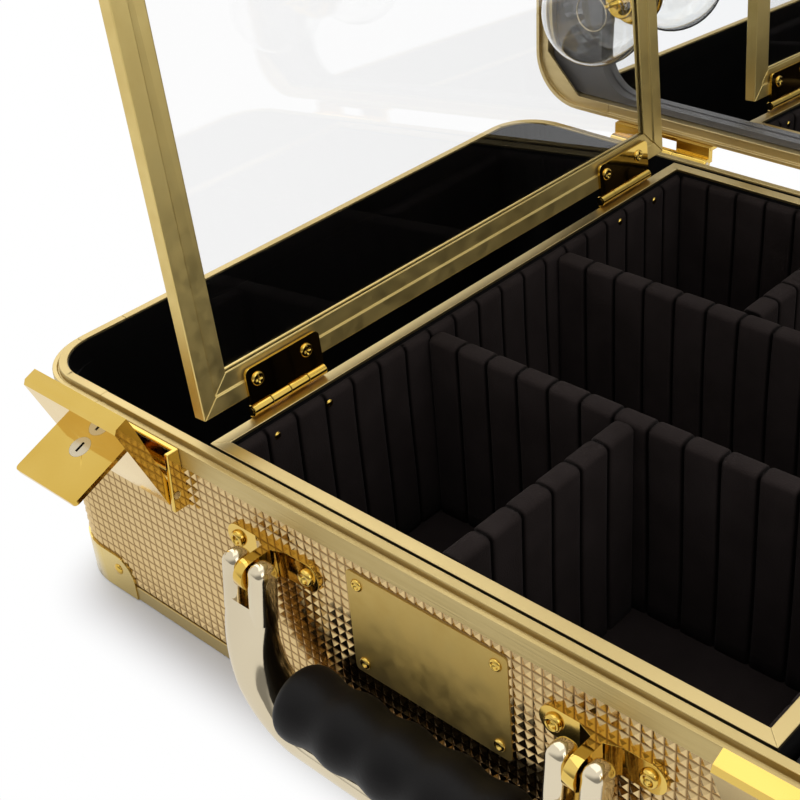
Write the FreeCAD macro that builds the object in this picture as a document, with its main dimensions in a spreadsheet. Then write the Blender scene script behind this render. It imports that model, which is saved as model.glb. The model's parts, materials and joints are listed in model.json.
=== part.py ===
import FreeCAD, Part
import math
import os
import re
import Sketcher

doc = FreeCAD.newDocument("makeup_train_case")
sheet = doc.addObject("Spreadsheet::Sheet", "Sizes")

# Every driving size of the case, in millimetres and degrees.
sizes = [
    ("case_length", 440, "outside length over the rims"),
    ("case_depth", 318, "outside depth over the rims"),
    ("corner_radius", 27, "outside radius of the upright corners"),
    ("panel_inset", 0.8, "panel face behind the rim face"),
    ("panel_thick", 4.5, "wall panel thickness"),
    ("post_play", 0.1, "play of a corner post inside rim and cap"),
    ("panel_play", 0.2, "panel end play in the rim channel"),
    ("rim_top", 103.3, "top of the base rim lip"),
    ("rim_drop", 10.7, "height of the rim section"),
    ("ledge_drop", 2, "ledge below the lip"),
    ("ledge_width", 2, "width of the outer ledge"),
    ("groove_width", 0.9, "sealing groove width"),
    ("groove_depth", 1, "sealing groove depth below the ledge"),
    ("lip_width", 3.6, "width of the inner lip"),
    ("channel_depth", 4, "depth of the panel channel in a rim"),
    ("corner_leg", 20, "straight leg of a rim corner or cap"),
    ("trim_height", 7, "upright leg of an edge trim"),
    ("trim_thick", 1, "flat leg thickness of an edge trim"),
    ("trim_reach", 12, "flat leg width of an edge trim"),
    ("cap_height", 19, "height of a corner cap"),
    ("cap_proud", 0.6, "cap face in front of the rim face"),
    ("cap_round", 11, "rounding of the free end of a cap leg"),
    ("floor_thick", 5, "floor and top panel thickness"),
    ("floor_play", 0.3, "play round the floor panel"),
    ("floor_round", 24, "corner radius of the floor panel"),
    ("tray_length", 240, "outside length of the inner tray"),
    ("tray_gap", 2.95, "tray wall to the front and back panels"),
    ("tray_offset", 6.5, "tray middle to the right of the case middle"),
    ("tray_drop", 0.8, "tray rim below the base rim lip"),
    ("tray_wall", 5.5, "tray wall thickness"),
    ("tray_rim_width", 5.5, "width of the tray rim strip"),
    ("tray_rim_thick", 1.5, "thickness of the tray rim strip"),
    ("pad_thick", 2, "felt pad on the tray floor"),
    ("lining_base", 2.2, "lining thickness at a seam"),
    ("lining_crown", 1.1, "rise of a lining pleat"),
    ("lining_drop", 3, "lining top below the tray top"),
    ("pleat_pitch", 24, "spacing of the stitched seams"),
    ("lining_play", 0.4, "play round linings and dividers"),
    ("divider_base", 7, "divider thickness at a seam"),
    ("divider_crown", 1.3, "rise of a divider pleat on each side"),
    ("divider_drop", 4.5, "divider top below the tray top"),
    ("divider_round", 3, "rise of the rounded divider top"),
    ("front_room", 113.75, "front of the tray to the front long divider"),
    ("back_room", 101.25, "back of the tray to the back long divider"),
    ("front_split", 110, "left of the tray to the front short divider"),
    ("back_split", 104.5, "left of the tray to the back short divider"),
    ("well_lining", 1.2, "lining thickness of a side well"),
    ("well_play", 2, "well lining to tray wall"),
    ("cover_gap", 6, "cover edge to its hinge axis"),
    ("cover_front_gap", 0.25, "cover edge behind the front of the tray"),
    ("cover_back_gap", 8.25, "cover edge before the back of the tray"),
    ("cover_thick", 6, "cover frame thickness"),
    ("cover_rail", 14, "cover frame rail width"),
    ("rail_band", 7, "raised outer band of a cover rail"),
    ("rail_recess", 0.8, "inner band behind the outer band"),
    ("cover_lift", 0.6, "cover underside above its hinge axis"),
    ("cover_axis_rise", 2.8, "cover hinge axis above the tray top"),
    ("cover_open_angle", 94.2, "angle of the raised cover"),
    ("pane_thick", 3, "clear pane thickness"),
    ("pane_bite", 5, "pane held inside the rails"),
    ("pane_play", 0.1, "play round the pane in its groove"),
    ("butt_length", 38, "length of a cover hinge"),
    ("butt_leaf", 1.2, "cover hinge leaf thickness"),
    ("butt_reach", 17.5, "cover hinge leaf width from the axis"),
    ("butt_round", 2.6, "corner radius of a cover hinge leaf"),
    ("butt_knuckle", 2.3, "cover hinge knuckle radius"),
    ("butt_pin", 1.1, "cover hinge pin radius"),
    ("butt_front_room", 40.25, "front of the tray to the front cover hinge"),
    ("butt_back_room", 41.75, "back of the tray to the back cover hinge"),
    ("pin_play", 0.05, "radial play of every pin"),
    ("knuckle_play", 0.4, "end play between knuckles"),
    ("lid_height", 58.4, "height of the lid over its skirt"),
    ("lid_gap", 0.3, "gap between the closed rims"),
    ("web_thick", 1.5, "web across the inside of a lid rim corner"),
    ("lid_open_angle", 92, "angle of the open lid"),
    ("lid_axis_out", 8.5, "lid hinge axis behind the rear face"),
    ("lid_axis_drop", 6.4, "lid hinge axis below the rim lip"),
    ("lid_hinge_length", 60, "length of a lid hinge"),
    ("lid_hinge_side", 85, "end of the case to the middle of a lid hinge"),
    ("lid_leaf", 2, "lid hinge leaf thickness"),
    ("lid_leaf_reach", 24, "lid hinge leaf height"),
    ("lid_knuckle", 3, "lid hinge knuckle radius"),
    ("lid_pin", 1.5, "lid hinge pin radius"),
    ("board_drop", 4.4, "mirror border above the lid rim face"),
    ("board_thick", 13.5, "mirror board thickness"),
    ("board_round", 22, "corner radius of the mirror board"),
    ("mirror_recess", 5.5, "mirror face behind its border"),
    ("mirror_side", 39, "end of the case to the mirror"),
    ("mirror_edge", 10.5, "front or back of the case to the mirror"),
    ("mirror_thick", 4, "mirror glass thickness"),
    ("mirror_round", 20, "corner radius of the mirror"),
    ("mirror_play", 0.3, "play round the mirror"),
    ("bulb_radius", 27, "globe radius of a bulb"),
    ("bulb_stand", 34, "bulb middle in front of the mirror"),
    ("bulb_neck", 10, "bulb neck radius"),
    ("bulb_glass", 1.4, "bulb glass thickness"),
    ("bulb_side", 55.8, "end of the case to a bulb column"),
    ("bulb_edge", 64, "front or back of the case to the end bulbs"),
    ("socket_radius", 15, "lamp socket radius"),
    ("socket_height", 5, "lamp socket height"),
    ("handle_x", 73.5, "handle bracket from the case middle"),
    ("handle_drop", 28.3, "handle pivot below the base rim lip"),
    ("handle_out", 13.3, "handle pivot in front of the panel"),
    ("handle_tilt_angle", 7, "outward lean of the hanging handle"),
    ("handle_bar", 22, "width of a handle arm"),
    ("handle_thick", 10, "depth of a handle arm at its pivot"),
    ("handle_wide", 19, "depth of the handle frame at the grip"),
    ("handle_neck", 13, "arm below the pivot where it starts to widen"),
    ("handle_fall", 62, "pivot to the foot of the handle"),
    ("handle_rise", 7.5, "handle arm above the pivot"),
    ("handle_strap", 9, "height of the lower handle strap"),
    ("handle_outer_round", 42, "outer corner radius of the handle"),
    ("handle_inner_round", 28, "inner corner radius of the handle"),
    ("fork_slot", 5, "slot in a handle arm"),
    ("fork_depth", 11, "slot below the pivot"),
    ("fork_round", 4, "rounded end of a fork prong"),
    ("handle_pin", 2, "handle pin radius"),
    ("bracket_plate", 2.5, "handle bracket plate thickness"),
    ("bracket_length", 48, "handle bracket length over its eyes"),
    ("bracket_saddle", 8, "half length of the raised bracket saddle"),
    ("bracket_rise", 2.2, "rise of the bracket saddle"),
    ("bracket_lug", 4.4, "lug thickness of a handle bracket"),
    ("lug_radius", 6, "rounded end of a bracket lug and eye"),
    ("rivet_radius", 3.4, "rivet head radius"),
    ("rivet_head", 1.8, "rivet head height"),
    ("grip_length", 100, "length of the handle grip"),
    ("grip_radius", 14, "grip radius"),
    ("grip_wave", 0.8, "depth of the finger grooves"),
    ("grip_pitch", 22, "spacing of the finger grooves"),
    ("grip_up", 19, "grip middle above the foot of the handle"),
    ("grip_end", 4, "length over which a grip end closes in"),
    ("grip_close", 3, "how far a grip end closes in"),
    ("latch_side", 67.5, "end of the case to the latch middle"),
    ("latch_width", 56, "width of a latch lever"),
    ("latch_axis_out", 5.2, "latch pivot in front of the panel"),
    ("latch_drop", 21.3, "latch pivot below the base rim lip"),
    ("latch_tilt_angle", 22, "outward lean of an open lever"),
    ("lever_plate", 2, "lever plate thickness"),
    ("lever_out", 7, "lever plate inner face in front of the panel"),
    ("lever_height", 43, "lever top above its pivot"),
    ("lever_foot", 3, "lever plate below its pivot"),
    ("lever_cheek", 1.8, "lever cheek thickness"),
    ("lever_eye", 3, "radius of a lever eye round its pin"),
    ("lever_flange", 5, "hook flange height"),
    ("lever_bevel", 1.6, "bevel along the hook flange"),
    ("lever_hook", 2, "hook end in front of the panel"),
    ("cheek_back", 4.4, "back of a lever cheek at its foot, from the panel"),
    ("tab_height", 24.7, "finger tab above the pivot"),
    ("tab_width", 37, "finger tab width"),
    ("tab_reach", 25, "finger tab length"),
    ("tab_thick", 2, "finger tab thickness"),
    ("tab_round", 2, "corner radius of the finger tab"),
    ("lock_out", 5.4, "lock middle in front of the lever plate"),
    ("lock_radius", 4.5, "lock plug radius"),
    ("lock_depth", 9, "lock plug length"),
    ("lock_wall", 1.8, "wall round the lock plug"),
    ("lock_slot", 1.2, "key slot width"),
    ("latch_plate", 1.6, "latch base plate thickness"),
    ("latch_lip", 2.8, "top lip of the latch base, from the panel"),
    ("latch_lip_thick", 1.5, "thickness of the top lip"),
    ("latch_cheek_out", 7.6, "latch base cheek, from the panel"),
    ("latch_cheek_slope", 1.2, "slope of the cheek edge towards its top"),
    ("latch_foot", 7, "latch base below the pivot"),
    ("latch_head", 19, "latch base above the pivot"),
    ("latch_cheek", 2, "latch base cheek thickness"),
    ("cheek_play", 0.5, "play between lever and base cheeks"),
    ("latch_pin", 1.5, "latch pin radius"),
    ("strike_width", 36, "width of a latch strike"),
    ("strike_out", 4.8, "strike lip in front of the lid panel"),
    ("strike_height", 3, "strike lip height"),
    ("strike_plate", 1.2, "strike plate thickness"),
    ("hook_play", 0.4, "hook to strike clearance"),
    ("plate_length", 72, "name plate length"),
    ("plate_height", 46, "name plate height"),
    ("plate_thick", 1, "name plate thickness"),
    ("plate_drop", 38, "middle of the name plate below the base rim lip"),
    ("plate_round", 2, "corner radius of the name plate"),
]

# Two places closer than this are the same place.
near = 0.01

names = set()
for row, (alias, value, note) in enumerate(sizes, 1):
    sheet.set("A%d" % row, note)
    sheet.set("B%d" % row, str(value))
    sheet.setAlias("B%d" % row, alias)
    names.add(alias)
doc.recompute()


def tie(text):
    def swap(word):
        return "Sizes." + word.group(0) if word.group(0) in names else word.group(0)
    return re.sub(r"[a-z][a-z_]*", swap, text)


def bind(thing, prop, text):
    thing.setExpression(prop, tie(text))


# The number that a formula of the sheet comes to.
def value(text):
    gauge = doc.addObject("Part::Vertex", "gauge")
    bind(gauge, "X", text)
    gauge.recompute()
    found = gauge.X.Value
    doc.removeObject(gauge.Name)
    return found


def put(thing, corner):
    for letter, text in zip("xyz", corner):
        bind(thing, "Placement.Base." + letter, text)


def span(low, high):
    return "(%s) - (%s)" % (high, low)


def box(name, x, y, z):
    solid = doc.addObject("Part::Box", name)
    for prop, pair in zip(("Length", "Width", "Height"), (x, y, z)):
        bind(solid, prop, span(*pair))
    put(solid, (x[0], y[0], z[0]))
    return solid


turns = {
    "x": FreeCAD.Rotation(FreeCAD.Vector(0, 1, 0), 90),
    "y": FreeCAD.Rotation(FreeCAD.Vector(1, 0, 0), -90),
    "z": FreeCAD.Rotation(),
}


def rod(name, axis, radius, length, foot, sides=0):
    solid = doc.addObject("Part::Prism" if sides else "Part::Cylinder", name)
    if sides:
        solid.Polygon = sides
    bind(solid, "Circumradius" if sides else "Radius", radius)
    bind(solid, "Height", length)
    solid.Placement = FreeCAD.Placement(FreeCAD.Vector(), turns[axis])
    put(solid, foot)
    return solid


def join(name, solids):
    whole = doc.addObject("Part::MultiFuse", name)
    whole.Shapes = solids
    whole.Refine = True
    return whole


def cut(name, solid, tool):
    rest = doc.addObject("Part::Cut", name)
    rest.Base = solid
    rest.Tool = tool
    return rest


def mirrored(solid, normal, base_x="0"):
    twin = doc.addObject("Part::Mirroring", solid.Name + "_twin")
    twin.Source = solid
    twin.Normal = FreeCAD.Vector(*normal)
    bind(twin, "Base.x", base_x)
    return twin


def pair(solid, normal, base_x="0"):
    return [solid, mirrored(solid, normal, base_x)]


def four(solid):
    row = pair(solid, (1, 0, 0))
    return row + [mirrored(each, (0, 1, 0)) for each in row]


def group(name, solids):
    whole = doc.addObject("Part::Compound", name)
    whole.Links = solids
    return whole


def sketch_on(body, role, points, lift=None):
    drawing = body.newObject("Sketcher::SketchObject", body.Name + "_outline")
    flat = [each for each in body.Origin.OriginFeatures if each.Role == role][0]
    drawing.AttachmentSupport = [(flat, "")]
    drawing.MapMode = "FlatFace"
    if lift:
        bind(drawing, "AttachmentOffset.Base.z", lift)
    count = len(points)
    start = []
    for index in range(count):
        angle = 2 * math.pi * index / count
        start.append(FreeCAD.Vector(math.cos(angle), math.sin(angle), 0))
    rules = []
    for index in range(count):
        after = (index + 1) % count
        drawing.addGeometry(Part.LineSegment(start[index], start[after]), False)
        rules.append(Sketcher.Constraint("Coincident", index, 2, after, 1))
    for index in range(count):
        rules.append(Sketcher.Constraint("DistanceX", -1, 1, index, 1, start[index].x))
        rules.append(Sketcher.Constraint("DistanceY", -1, 1, index, 1, start[index].y))
    drawing.addConstraint(rules)
    for index, (across, up) in enumerate(points):
        bind(drawing, "Constraints[%d]" % (count + 2 * index), across)
        bind(drawing, "Constraints[%d]" % (count + 2 * index + 1), up)
    return drawing


def pad(body, role, points, length, symmetric=False, back=False, lift=None):
    feature = body.newObject("PartDesign::Pad", body.Name + "_pad")
    feature.Profile = sketch_on(body, role, points, lift)
    bind(feature, "Length", length)
    feature.SideType = "Symmetric" if symmetric else "One side"
    feature.Reversed = back
    return feature


def round_off(body, feature, chosen, radius, bevel=False):
    doc.recompute()
    edges = []
    for index, edge in enumerate(feature.Shape.Edges, 1):
        if chosen(edge):
            edges.append("Edge%d" % index)
    kind = "PartDesign::Chamfer" if bevel else "PartDesign::Fillet"
    rounding = body.newObject(kind, body.Name + "_round")
    rounding.Base = (feature, edges)
    bind(rounding, "Size" if bevel else "Radius", radius)
    return rounding


def runs(edge, axis):
    if edge.Curve.TypeId != "Part::GeomLine":
        return False
    return 1 - abs(getattr(edge.Curve.Direction, axis)) < near


def middle(edge):
    return edge.valueAt((edge.FirstParameter + edge.LastParameter) / 2)


def new_body(name):
    return doc.addObject("PartDesign::Body", name)


def corners(x, y):
    return [(x[0], y[0]), (x[1], y[0]), (x[1], y[1]), (x[0], y[1])]


nodes = []


def node(label, solids, pose=None):
    whole = group("node_" + label, solids)
    if pose:
        whole.Placement = pose
    whole.Label = label
    nodes.append(whole)


# Shared distances, as formulas of the sheet.
half_x = "case_length / 2"
half_y = "case_depth / 2"
shell = "(panel_inset + panel_thick)"
rim_width = "(ledge_width + groove_width + lip_width)"
rim_foot = "(rim_top - rim_drop)"
base_channel = "(rim_top - rim_drop + channel_depth)"
run_x = "case_length - 2 * corner_radius - 2 * corner_leg"
run_y = "case_depth - 2 * corner_radius - 2 * corner_leg"
lid_face = "(rim_top + lid_gap)"
lid_rim_head = "(rim_top + lid_gap + rim_drop)"
lid_channel = "(rim_top + lid_gap + rim_drop - channel_depth)"
lid_skirt = "(rim_top - ledge_drop + lid_gap)"
lid_top = "(rim_top - ledge_drop + lid_gap + lid_height)"
panel_front = "(-case_depth / 2 + panel_inset)"
tray_top = "(rim_top - tray_drop)"


def up(text):
    return text


def down(text):
    return "(%s - (%s))" % (lid_top, text)


# A section is a list of (depth behind the outer face, height).
def long_run(name, section):
    body = new_body(name)
    outline = [("-(%s) + (%s)" % (half_y, deep), high) for deep, high in section]
    pad(body, "YZ_Plane", outline, run_x, symmetric=True)
    return pair(body, (0, 1, 0))


def short_run(name, section):
    body = new_body(name)
    outline = [("-(%s) + (%s)" % (half_x, deep), high) for deep, high in section]
    pad(body, "XZ_Plane", outline, run_y, symmetric=True)
    return pair(body, (1, 0, 0))


def from_corner(section):
    return [("corner_radius - (%s)" % deep, high) for deep, high in section]


# A corner bends one section and carries the same or another one along its legs.
def corner_piece(name, section, legs=None):
    body = new_body(name)
    bend = body.newObject("PartDesign::Revolution", name + "_bend")
    drawing = sketch_on(body, "XZ_Plane", from_corner(section))
    bend.Profile = drawing
    bend.ReferenceAxis = (drawing, ["V_Axis"])
    bend.Angle = 90
    if legs:
        pad(body, "XZ_Plane", from_corner(legs), "corner_leg")
        pad(body, "YZ_Plane", from_corner(legs), "corner_leg", back=True)
    put(body, (half_x + " - corner_radius", half_y + " - corner_radius", "0"))
    return body


def cap(name, level):
    section = [
        ("-cap_proud", level("0")),
        ("-cap_proud", level("cap_height")),
        ("panel_inset - post_play / 2", level("cap_height")),
        ("panel_inset - post_play / 2", level("trim_thick")),
        ("trim_reach", level("trim_thick")),
        ("trim_reach", level("0")),
    ]
    body = corner_piece(name, section, section)
    doc.recompute()
    tip = body.Tip
    box_of = tip.Shape.BoundBox
    edge_z = box_of.ZMax if level is up else box_of.ZMin
    leg = value("corner_leg")

    def free_end(edge):
        spot = middle(edge)
        if abs(spot.z - edge_z) > near:
            return False
        on_x = runs(edge, "y") and abs(spot.x + leg) < near
        on_y = runs(edge, "x") and abs(spot.y + leg) < near
        return on_x or on_y

    round_off(body, tip, free_end, "cap_round")
    return four(body)


def trims(name, level):
    section = [
        ("0", level("0")),
        ("0", level("trim_height")),
        ("panel_inset", level("trim_height")),
        ("panel_inset", level("trim_thick")),
        ("trim_reach", level("trim_thick")),
        ("trim_reach", level("0")),
    ]
    return long_run(name + "_long", section) + short_run(name + "_short", section)


def posts(name, low, high):
    section = [
        ("panel_inset + post_play", low),
        ("panel_inset + post_play", high),
        (shell + " - post_play", high),
        (shell + " - post_play", low),
    ]
    return four(corner_piece(name, section))


def long_panel(name, low, high):
    return box(
        name,
        ("-case_length / 2 + corner_radius", "case_length / 2 - corner_radius"),
        (panel_front, panel_front + " + panel_thick"),
        (low, high),
    )


def end_panel(name, low, high):
    return box(
        name,
        ("-case_length / 2 + panel_inset", "-case_length / 2 + " + shell),
        ("-case_depth / 2 + corner_radius", "case_depth / 2 - corner_radius"),
        (low, high),
    )


def slab(name, x, y, z, radius, chosen=None, bevel=False):
    body = new_body(name)
    block = pad(body, "XY_Plane", corners(x, y), span(*z), lift=z[0])

    def upright(edge):
        return runs(edge, "z") and (chosen is None or chosen(middle(edge)))

    round_off(body, block, upright, radius, bevel)
    return body


def both(text):
    return ("-(%s)" % text, text)


def stepped_floor(name, broad_z, step_z):
    wide_x = half_x + " - %s - floor_play" % shell
    wide_y = half_y + " - %s - floor_play" % shell
    step_x = half_x + " - trim_reach - floor_play"
    step_y = half_y + " - trim_reach - floor_play"
    broad = slab(name + "_broad", both(wide_x), both(wide_y), broad_z, "floor_round")
    corner = "corner_radius - trim_reach"
    step = slab(name + "_step", both(step_x), both(step_y), step_z, corner, bevel=True)
    return join(name, [broad, step])


# Base shell: panels stand on the trims and are held by the rims.
panel_head = base_channel + " - panel_play"
floor_z = "(trim_thick + floor_thick)"
node("base_floor_panel", [stepped_floor("base_floor", ("trim_thick", floor_z), ("0", "trim_thick"))])
front = long_panel("base_front", "trim_thick", panel_head)
node("base_front_panel", [front])
node("base_back_panel", [mirrored(front, (0, 1, 0))])
node("base_end_panels", pair(end_panel("base_end", "trim_thick", panel_head), (1, 0, 0)))
node("base_corner_posts", posts("base_post", "trim_thick", rim_foot))
node("base_bottom_trims", trims("base_trim", up))
node("base_corner_caps", cap("base_cap", up))

ledge_z = "rim_top - ledge_drop"
groove_z = "rim_top - ledge_drop - groove_depth"
base_rim = [
    ("0", rim_foot),
    ("0", ledge_z),
    ("ledge_width", ledge_z),
    ("ledge_width", groove_z),
    ("ledge_width + groove_width", groove_z),
    ("ledge_width + groove_width", "rim_top"),
    (rim_width, "rim_top"),
    (rim_width, rim_foot),
    (shell, rim_foot),
    (shell, base_channel),
    ("panel_inset", base_channel),
    ("panel_inset", rim_foot),
]
node("base_rims_long", long_run("base_rim_long", base_rim))
node("base_rims_short", short_run("base_rim_short", base_rim))
base_bend = base_rim[:8]
node("base_rim_corners", four(corner_piece("base_rim_corner", base_bend, base_rim)))

# Inner tray: walls on the floor panel, mitred rim strips on the walls.
wall_head = "(%s - tray_rim_thick)" % tray_top
tray_l = "(tray_offset - tray_length / 2)"
tray_r = "(tray_offset + tray_length / 2)"
tray_b = "(case_depth / 2 - %s - tray_gap)" % shell
tray_f = "(-%s)" % tray_b
side = box("tray_side", (tray_l, tray_l + " + tray_wall"), (tray_f, tray_b), (floor_z, wall_head))
node("tray_side_walls", pair(side, (1, 0, 0), "tray_offset"))
inner_l = "(%s + tray_wall)" % tray_l
inner_r = "(%s - tray_wall)" % tray_r
end = box("tray_end", (inner_l, inner_r), (tray_f, tray_f + " + tray_wall"), (floor_z, wall_head))
node("tray_end_walls", pair(end, (0, 1, 0)))
inner_f = "(%s + tray_wall)" % tray_f
inner_b = "(%s - tray_wall)" % tray_b
pad_z = "(trim_thick + floor_thick + pad_thick)"
node("tray_floor_pad", [box("tray_pad", (inner_l, inner_r), (inner_f, inner_b), (floor_z, pad_z))])

strip = new_body("tray_rim_side")
outline = [
    (tray_l, tray_f),
    (tray_l + " + tray_rim_width", tray_f + " + tray_rim_width"),
    (tray_l + " + tray_rim_width", tray_b + " - tray_rim_width"),
    (tray_l, tray_b),
]
pad(strip, "XY_Plane", outline, "tray_rim_thick", lift=wall_head)
node("tray_rim_sides", pair(strip, (1, 0, 0), "tray_offset"))
strip = new_body("tray_rim_end")
outline = [
    (tray_l, tray_f),
    (tray_r, tray_f),
    (tray_r + " - tray_rim_width", tray_f + " + tray_rim_width"),
    (tray_l + " + tray_rim_width", tray_f + " + tray_rim_width"),
]
pad(strip, "XY_Plane", outline, "tray_rim_thick", lift=wall_head)
node("tray_rim_ends", pair(strip, (0, 1, 0)))


# Pleated padding: a row of shallow arcs between stitched seams.
def pleats(length, pitch, base, crown):
    count = max(1, round(length / pitch))
    step = length / count
    arcs = []
    for index in range(count):
        left = FreeCAD.Vector(index * step, base, 0)
        top = FreeCAD.Vector((index + 0.5) * step, base + crown, 0)
        right = FreeCAD.Vector((index + 1) * step, base, 0)
        arcs.append(Part.Arc(left, top, right).toShape())
    return arcs


def quilt(length, height, base, crown):
    arcs = pleats(length, value("pleat_pitch"), base, crown)
    start = FreeCAD.Vector(0, base, 0)
    foot = FreeCAD.Vector(0, 0, 0)
    far = FreeCAD.Vector(length, 0, 0)
    finish = FreeCAD.Vector(length, base, 0)
    sides = [Part.makeLine(start, foot), Part.makeLine(foot, far), Part.makeLine(far, finish)]
    wire = Part.Wire(Part.__sortEdges__(arcs + sides))
    return Part.Face(wire).extrude(FreeCAD.Vector(0, 0, height))


def double_quilt(length, height):
    base = value("divider_base / 2")
    crown = value("divider_crown")
    right_side = pleats(length, value("pleat_pitch"), base, crown)
    left_side = pleats(length, value("pleat_pitch"), -base, -crown)
    ends = []
    for x in (0, length):
        ends.append(Part.makeLine(FreeCAD.Vector(x, -base, 0), FreeCAD.Vector(x, base, 0)))
    wire = Part.Wire(Part.__sortEdges__(right_side + left_side + ends))
    prism = Part.Face(wire).extrude(FreeCAD.Vector(0, 0, height))
    wide = base + 2 * crown
    rise = value("divider_round")
    left = FreeCAD.Vector(0, -wide, height - rise)
    top = FreeCAD.Vector(0, 0, height)
    right = FreeCAD.Vector(0, wide, height - rise)
    foot_r = FreeCAD.Vector(0, wide, 0)
    foot_l = FreeCAD.Vector(0, -wide, 0)
    section = Part.Wire([
        Part.Arc(left, top, right).toShape(),
        Part.makeLine(right, foot_r),
        Part.makeLine(foot_r, foot_l),
        Part.makeLine(foot_l, left),
    ])
    crowned = Part.Face(section).extrude(FreeCAD.Vector(length, 0, 0))
    return prism.common(crowned)


def shaped(name, shape, spot, turn=0):
    feature = doc.addObject("Part::Feature", name)
    feature.Shape = shape
    about_z = FreeCAD.Rotation(FreeCAD.Vector(0, 0, 1), turn)
    feature.Placement = FreeCAD.Placement(FreeCAD.Vector(*spot), about_z)
    return feature


play = value("lining_play")
lining = value("lining_base + lining_crown")
floor_top = value(pad_z)
lining_height = value(tray_top + " - lining_drop") - floor_top
x_low = value(inner_l)
x_high = value(inner_r)
y_low = value(inner_f)
y_high = value(inner_b)
long_lining = quilt(y_high - y_low, lining_height, value("lining_base"), value("lining_crown"))
cross_length = x_high - x_low - 2 * (lining + play)
cross_lining = quilt(cross_length, lining_height, value("lining_base"), value("lining_crown"))
x_start = x_low + lining + play
x_end = x_high - lining - play
node("tray_lining_left", [shaped("lining_left", long_lining, (x_low, y_high, floor_top), -90)])
node("tray_lining_right", [shaped("lining_right", long_lining, (x_high, y_low, floor_top), 90)])
node("tray_lining_front", [shaped("lining_front", cross_lining, (x_start, y_low, floor_top))])
node("tray_lining_back", [shaped("lining_back", cross_lining, (x_end, y_high, floor_top), 180)])

divider_height = value(tray_top + " - divider_drop") - floor_top
half_divider = value("divider_base / 2 + divider_crown")
front_y = value(tray_f + " + front_room")
back_y = value(tray_b + " - back_room")
long_divider = double_quilt(cross_length, divider_height)
node("divider_front_long", [shaped("divider_a", long_divider, (x_start, front_y, floor_top))])
node("divider_back_long", [shaped("divider_b", long_divider, (x_start, back_y, floor_top))])
y_start = y_low + lining + play
short_length = front_y - half_divider - play - y_start
short_divider = double_quilt(short_length, divider_height)
spot = (value(tray_l + " + front_split"), y_start, floor_top)
node("divider_front_short", [shaped("divider_c", short_divider, spot, 90)])
y_start = back_y + half_divider + play
short_length = y_high - lining - play - y_start
short_divider = double_quilt(short_length, divider_height)
spot = (value(tray_l + " + back_split"), y_start, floor_top)
node("divider_back_short", [shaped("divider_d", short_divider, spot, 90)])


# Side wells: thin open boxes between the case wall and the tray.
def well(name, x, outer_side):
    y = both(half_y + " - %s - floor_play" % shell)
    head = rim_foot + " - floor_play"

    def outer(spot):
        return (spot.x - value("tray_offset")) * outer_side > value("tray_length / 2 + corner_radius")

    whole = slab(name + "_outside", x, y, (floor_z, head), "floor_round", outer)
    inner_x = (x[0] + " + well_lining", x[1] + " - well_lining")
    inner_y = (y[0] + " + well_lining", y[1] + " - well_lining")
    inner_z = (floor_z + " + well_lining", head)
    hollow = slab(name + "_hollow", inner_x, inner_y, inner_z, "floor_round - well_lining", outer)
    return cut(name, whole, hollow)


left = well("well_l", ("-(%s) + %s + floor_play" % (half_x, shell), tray_l + " - well_play"), -1)
right = well("well_r", (tray_r + " + well_play", half_x + " - %s - floor_play" % shell), 1)
node("well_linings", [left, right])

# Tray cover, drawn lying flat over the tray and then raised about its hinge.
axis_z = "(%s + cover_axis_rise)" % tray_top
axis_x = tray_l
cover_low = "(%s + cover_lift)" % axis_z
cover_l = "(%s + cover_gap)" % axis_x
cover_r = tray_r
cover_f = "(%s + cover_front_gap)" % tray_f
cover_b = "(%s - cover_back_gap)" % tray_b


def turned(spot, axis, angle):
    about = FreeCAD.Rotation(FreeCAD.Vector(*axis), angle)
    return FreeCAD.Placement(FreeCAD.Vector(), about, FreeCAD.Vector(*spot))


cover_pose = turned((value(axis_x), 0, value(axis_z)), (0, -1, 0), value("cover_open_angle"))

pane_z = "(%s + cover_thick / 2 - pane_thick / 2)" % cover_low
pane_x = (cover_l + " + cover_rail - pane_bite", cover_r + " - cover_rail + pane_bite")
pane_y = (cover_f + " + cover_rail - pane_bite", cover_b + " - cover_rail + pane_bite")
pane = box("pane", pane_x, pane_y, (pane_z, pane_z + " + pane_thick"))


def grown(limits):
    return (limits[0] + " - pane_play", limits[1] + " + pane_play")


def groove(name):
    return box(name, grown(pane_x), grown(pane_y), grown((pane_z, pane_z + " + pane_thick")))


def inner_band(name):
    x = (cover_l + " + rail_band", cover_r + " - rail_band")
    y = (cover_f + " + rail_band", cover_b + " - rail_band")
    return box(name, x, y, (cover_low, cover_low + " + rail_recess"))


def rail(name, outline):
    body = new_body(name)
    pad(body, "XY_Plane", outline, "cover_thick", lift=cover_low)
    hollows = join(name + "_hollows", [groove(name + "_groove"), inner_band(name + "_band")])
    return cut(name + "_shaped", body, hollows)


near_rail = rail("rail_hinge", [
    (cover_l, cover_f),
    (cover_l + " + cover_rail", cover_f + " + cover_rail"),
    (cover_l + " + cover_rail", cover_b + " - cover_rail"),
    (cover_l, cover_b),
])
far_rail = rail("rail_free", [
    (cover_r, cover_f),
    (cover_r, cover_b),
    (cover_r + " - cover_rail", cover_b + " - cover_rail"),
    (cover_r + " - cover_rail", cover_f + " + cover_rail"),
])
front_rail = rail("rail_front", [
    (cover_l, cover_f),
    (cover_r, cover_f),
    (cover_r + " - cover_rail", cover_f + " + cover_rail"),
    (cover_l + " + cover_rail", cover_f + " + cover_rail"),
])
back_rail = rail("rail_back", [
    (cover_l, cover_b),
    (cover_l + " + cover_rail", cover_b + " - cover_rail"),
    (cover_r + " - cover_rail", cover_b + " - cover_rail"),
    (cover_r, cover_b),
])
node("cover_rail_hinge_side", [near_rail], cover_pose)
node("cover_rail_free_side", [far_rail], cover_pose)
node("cover_rails_cross", [front_rail, back_rail], cover_pose)
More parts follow.
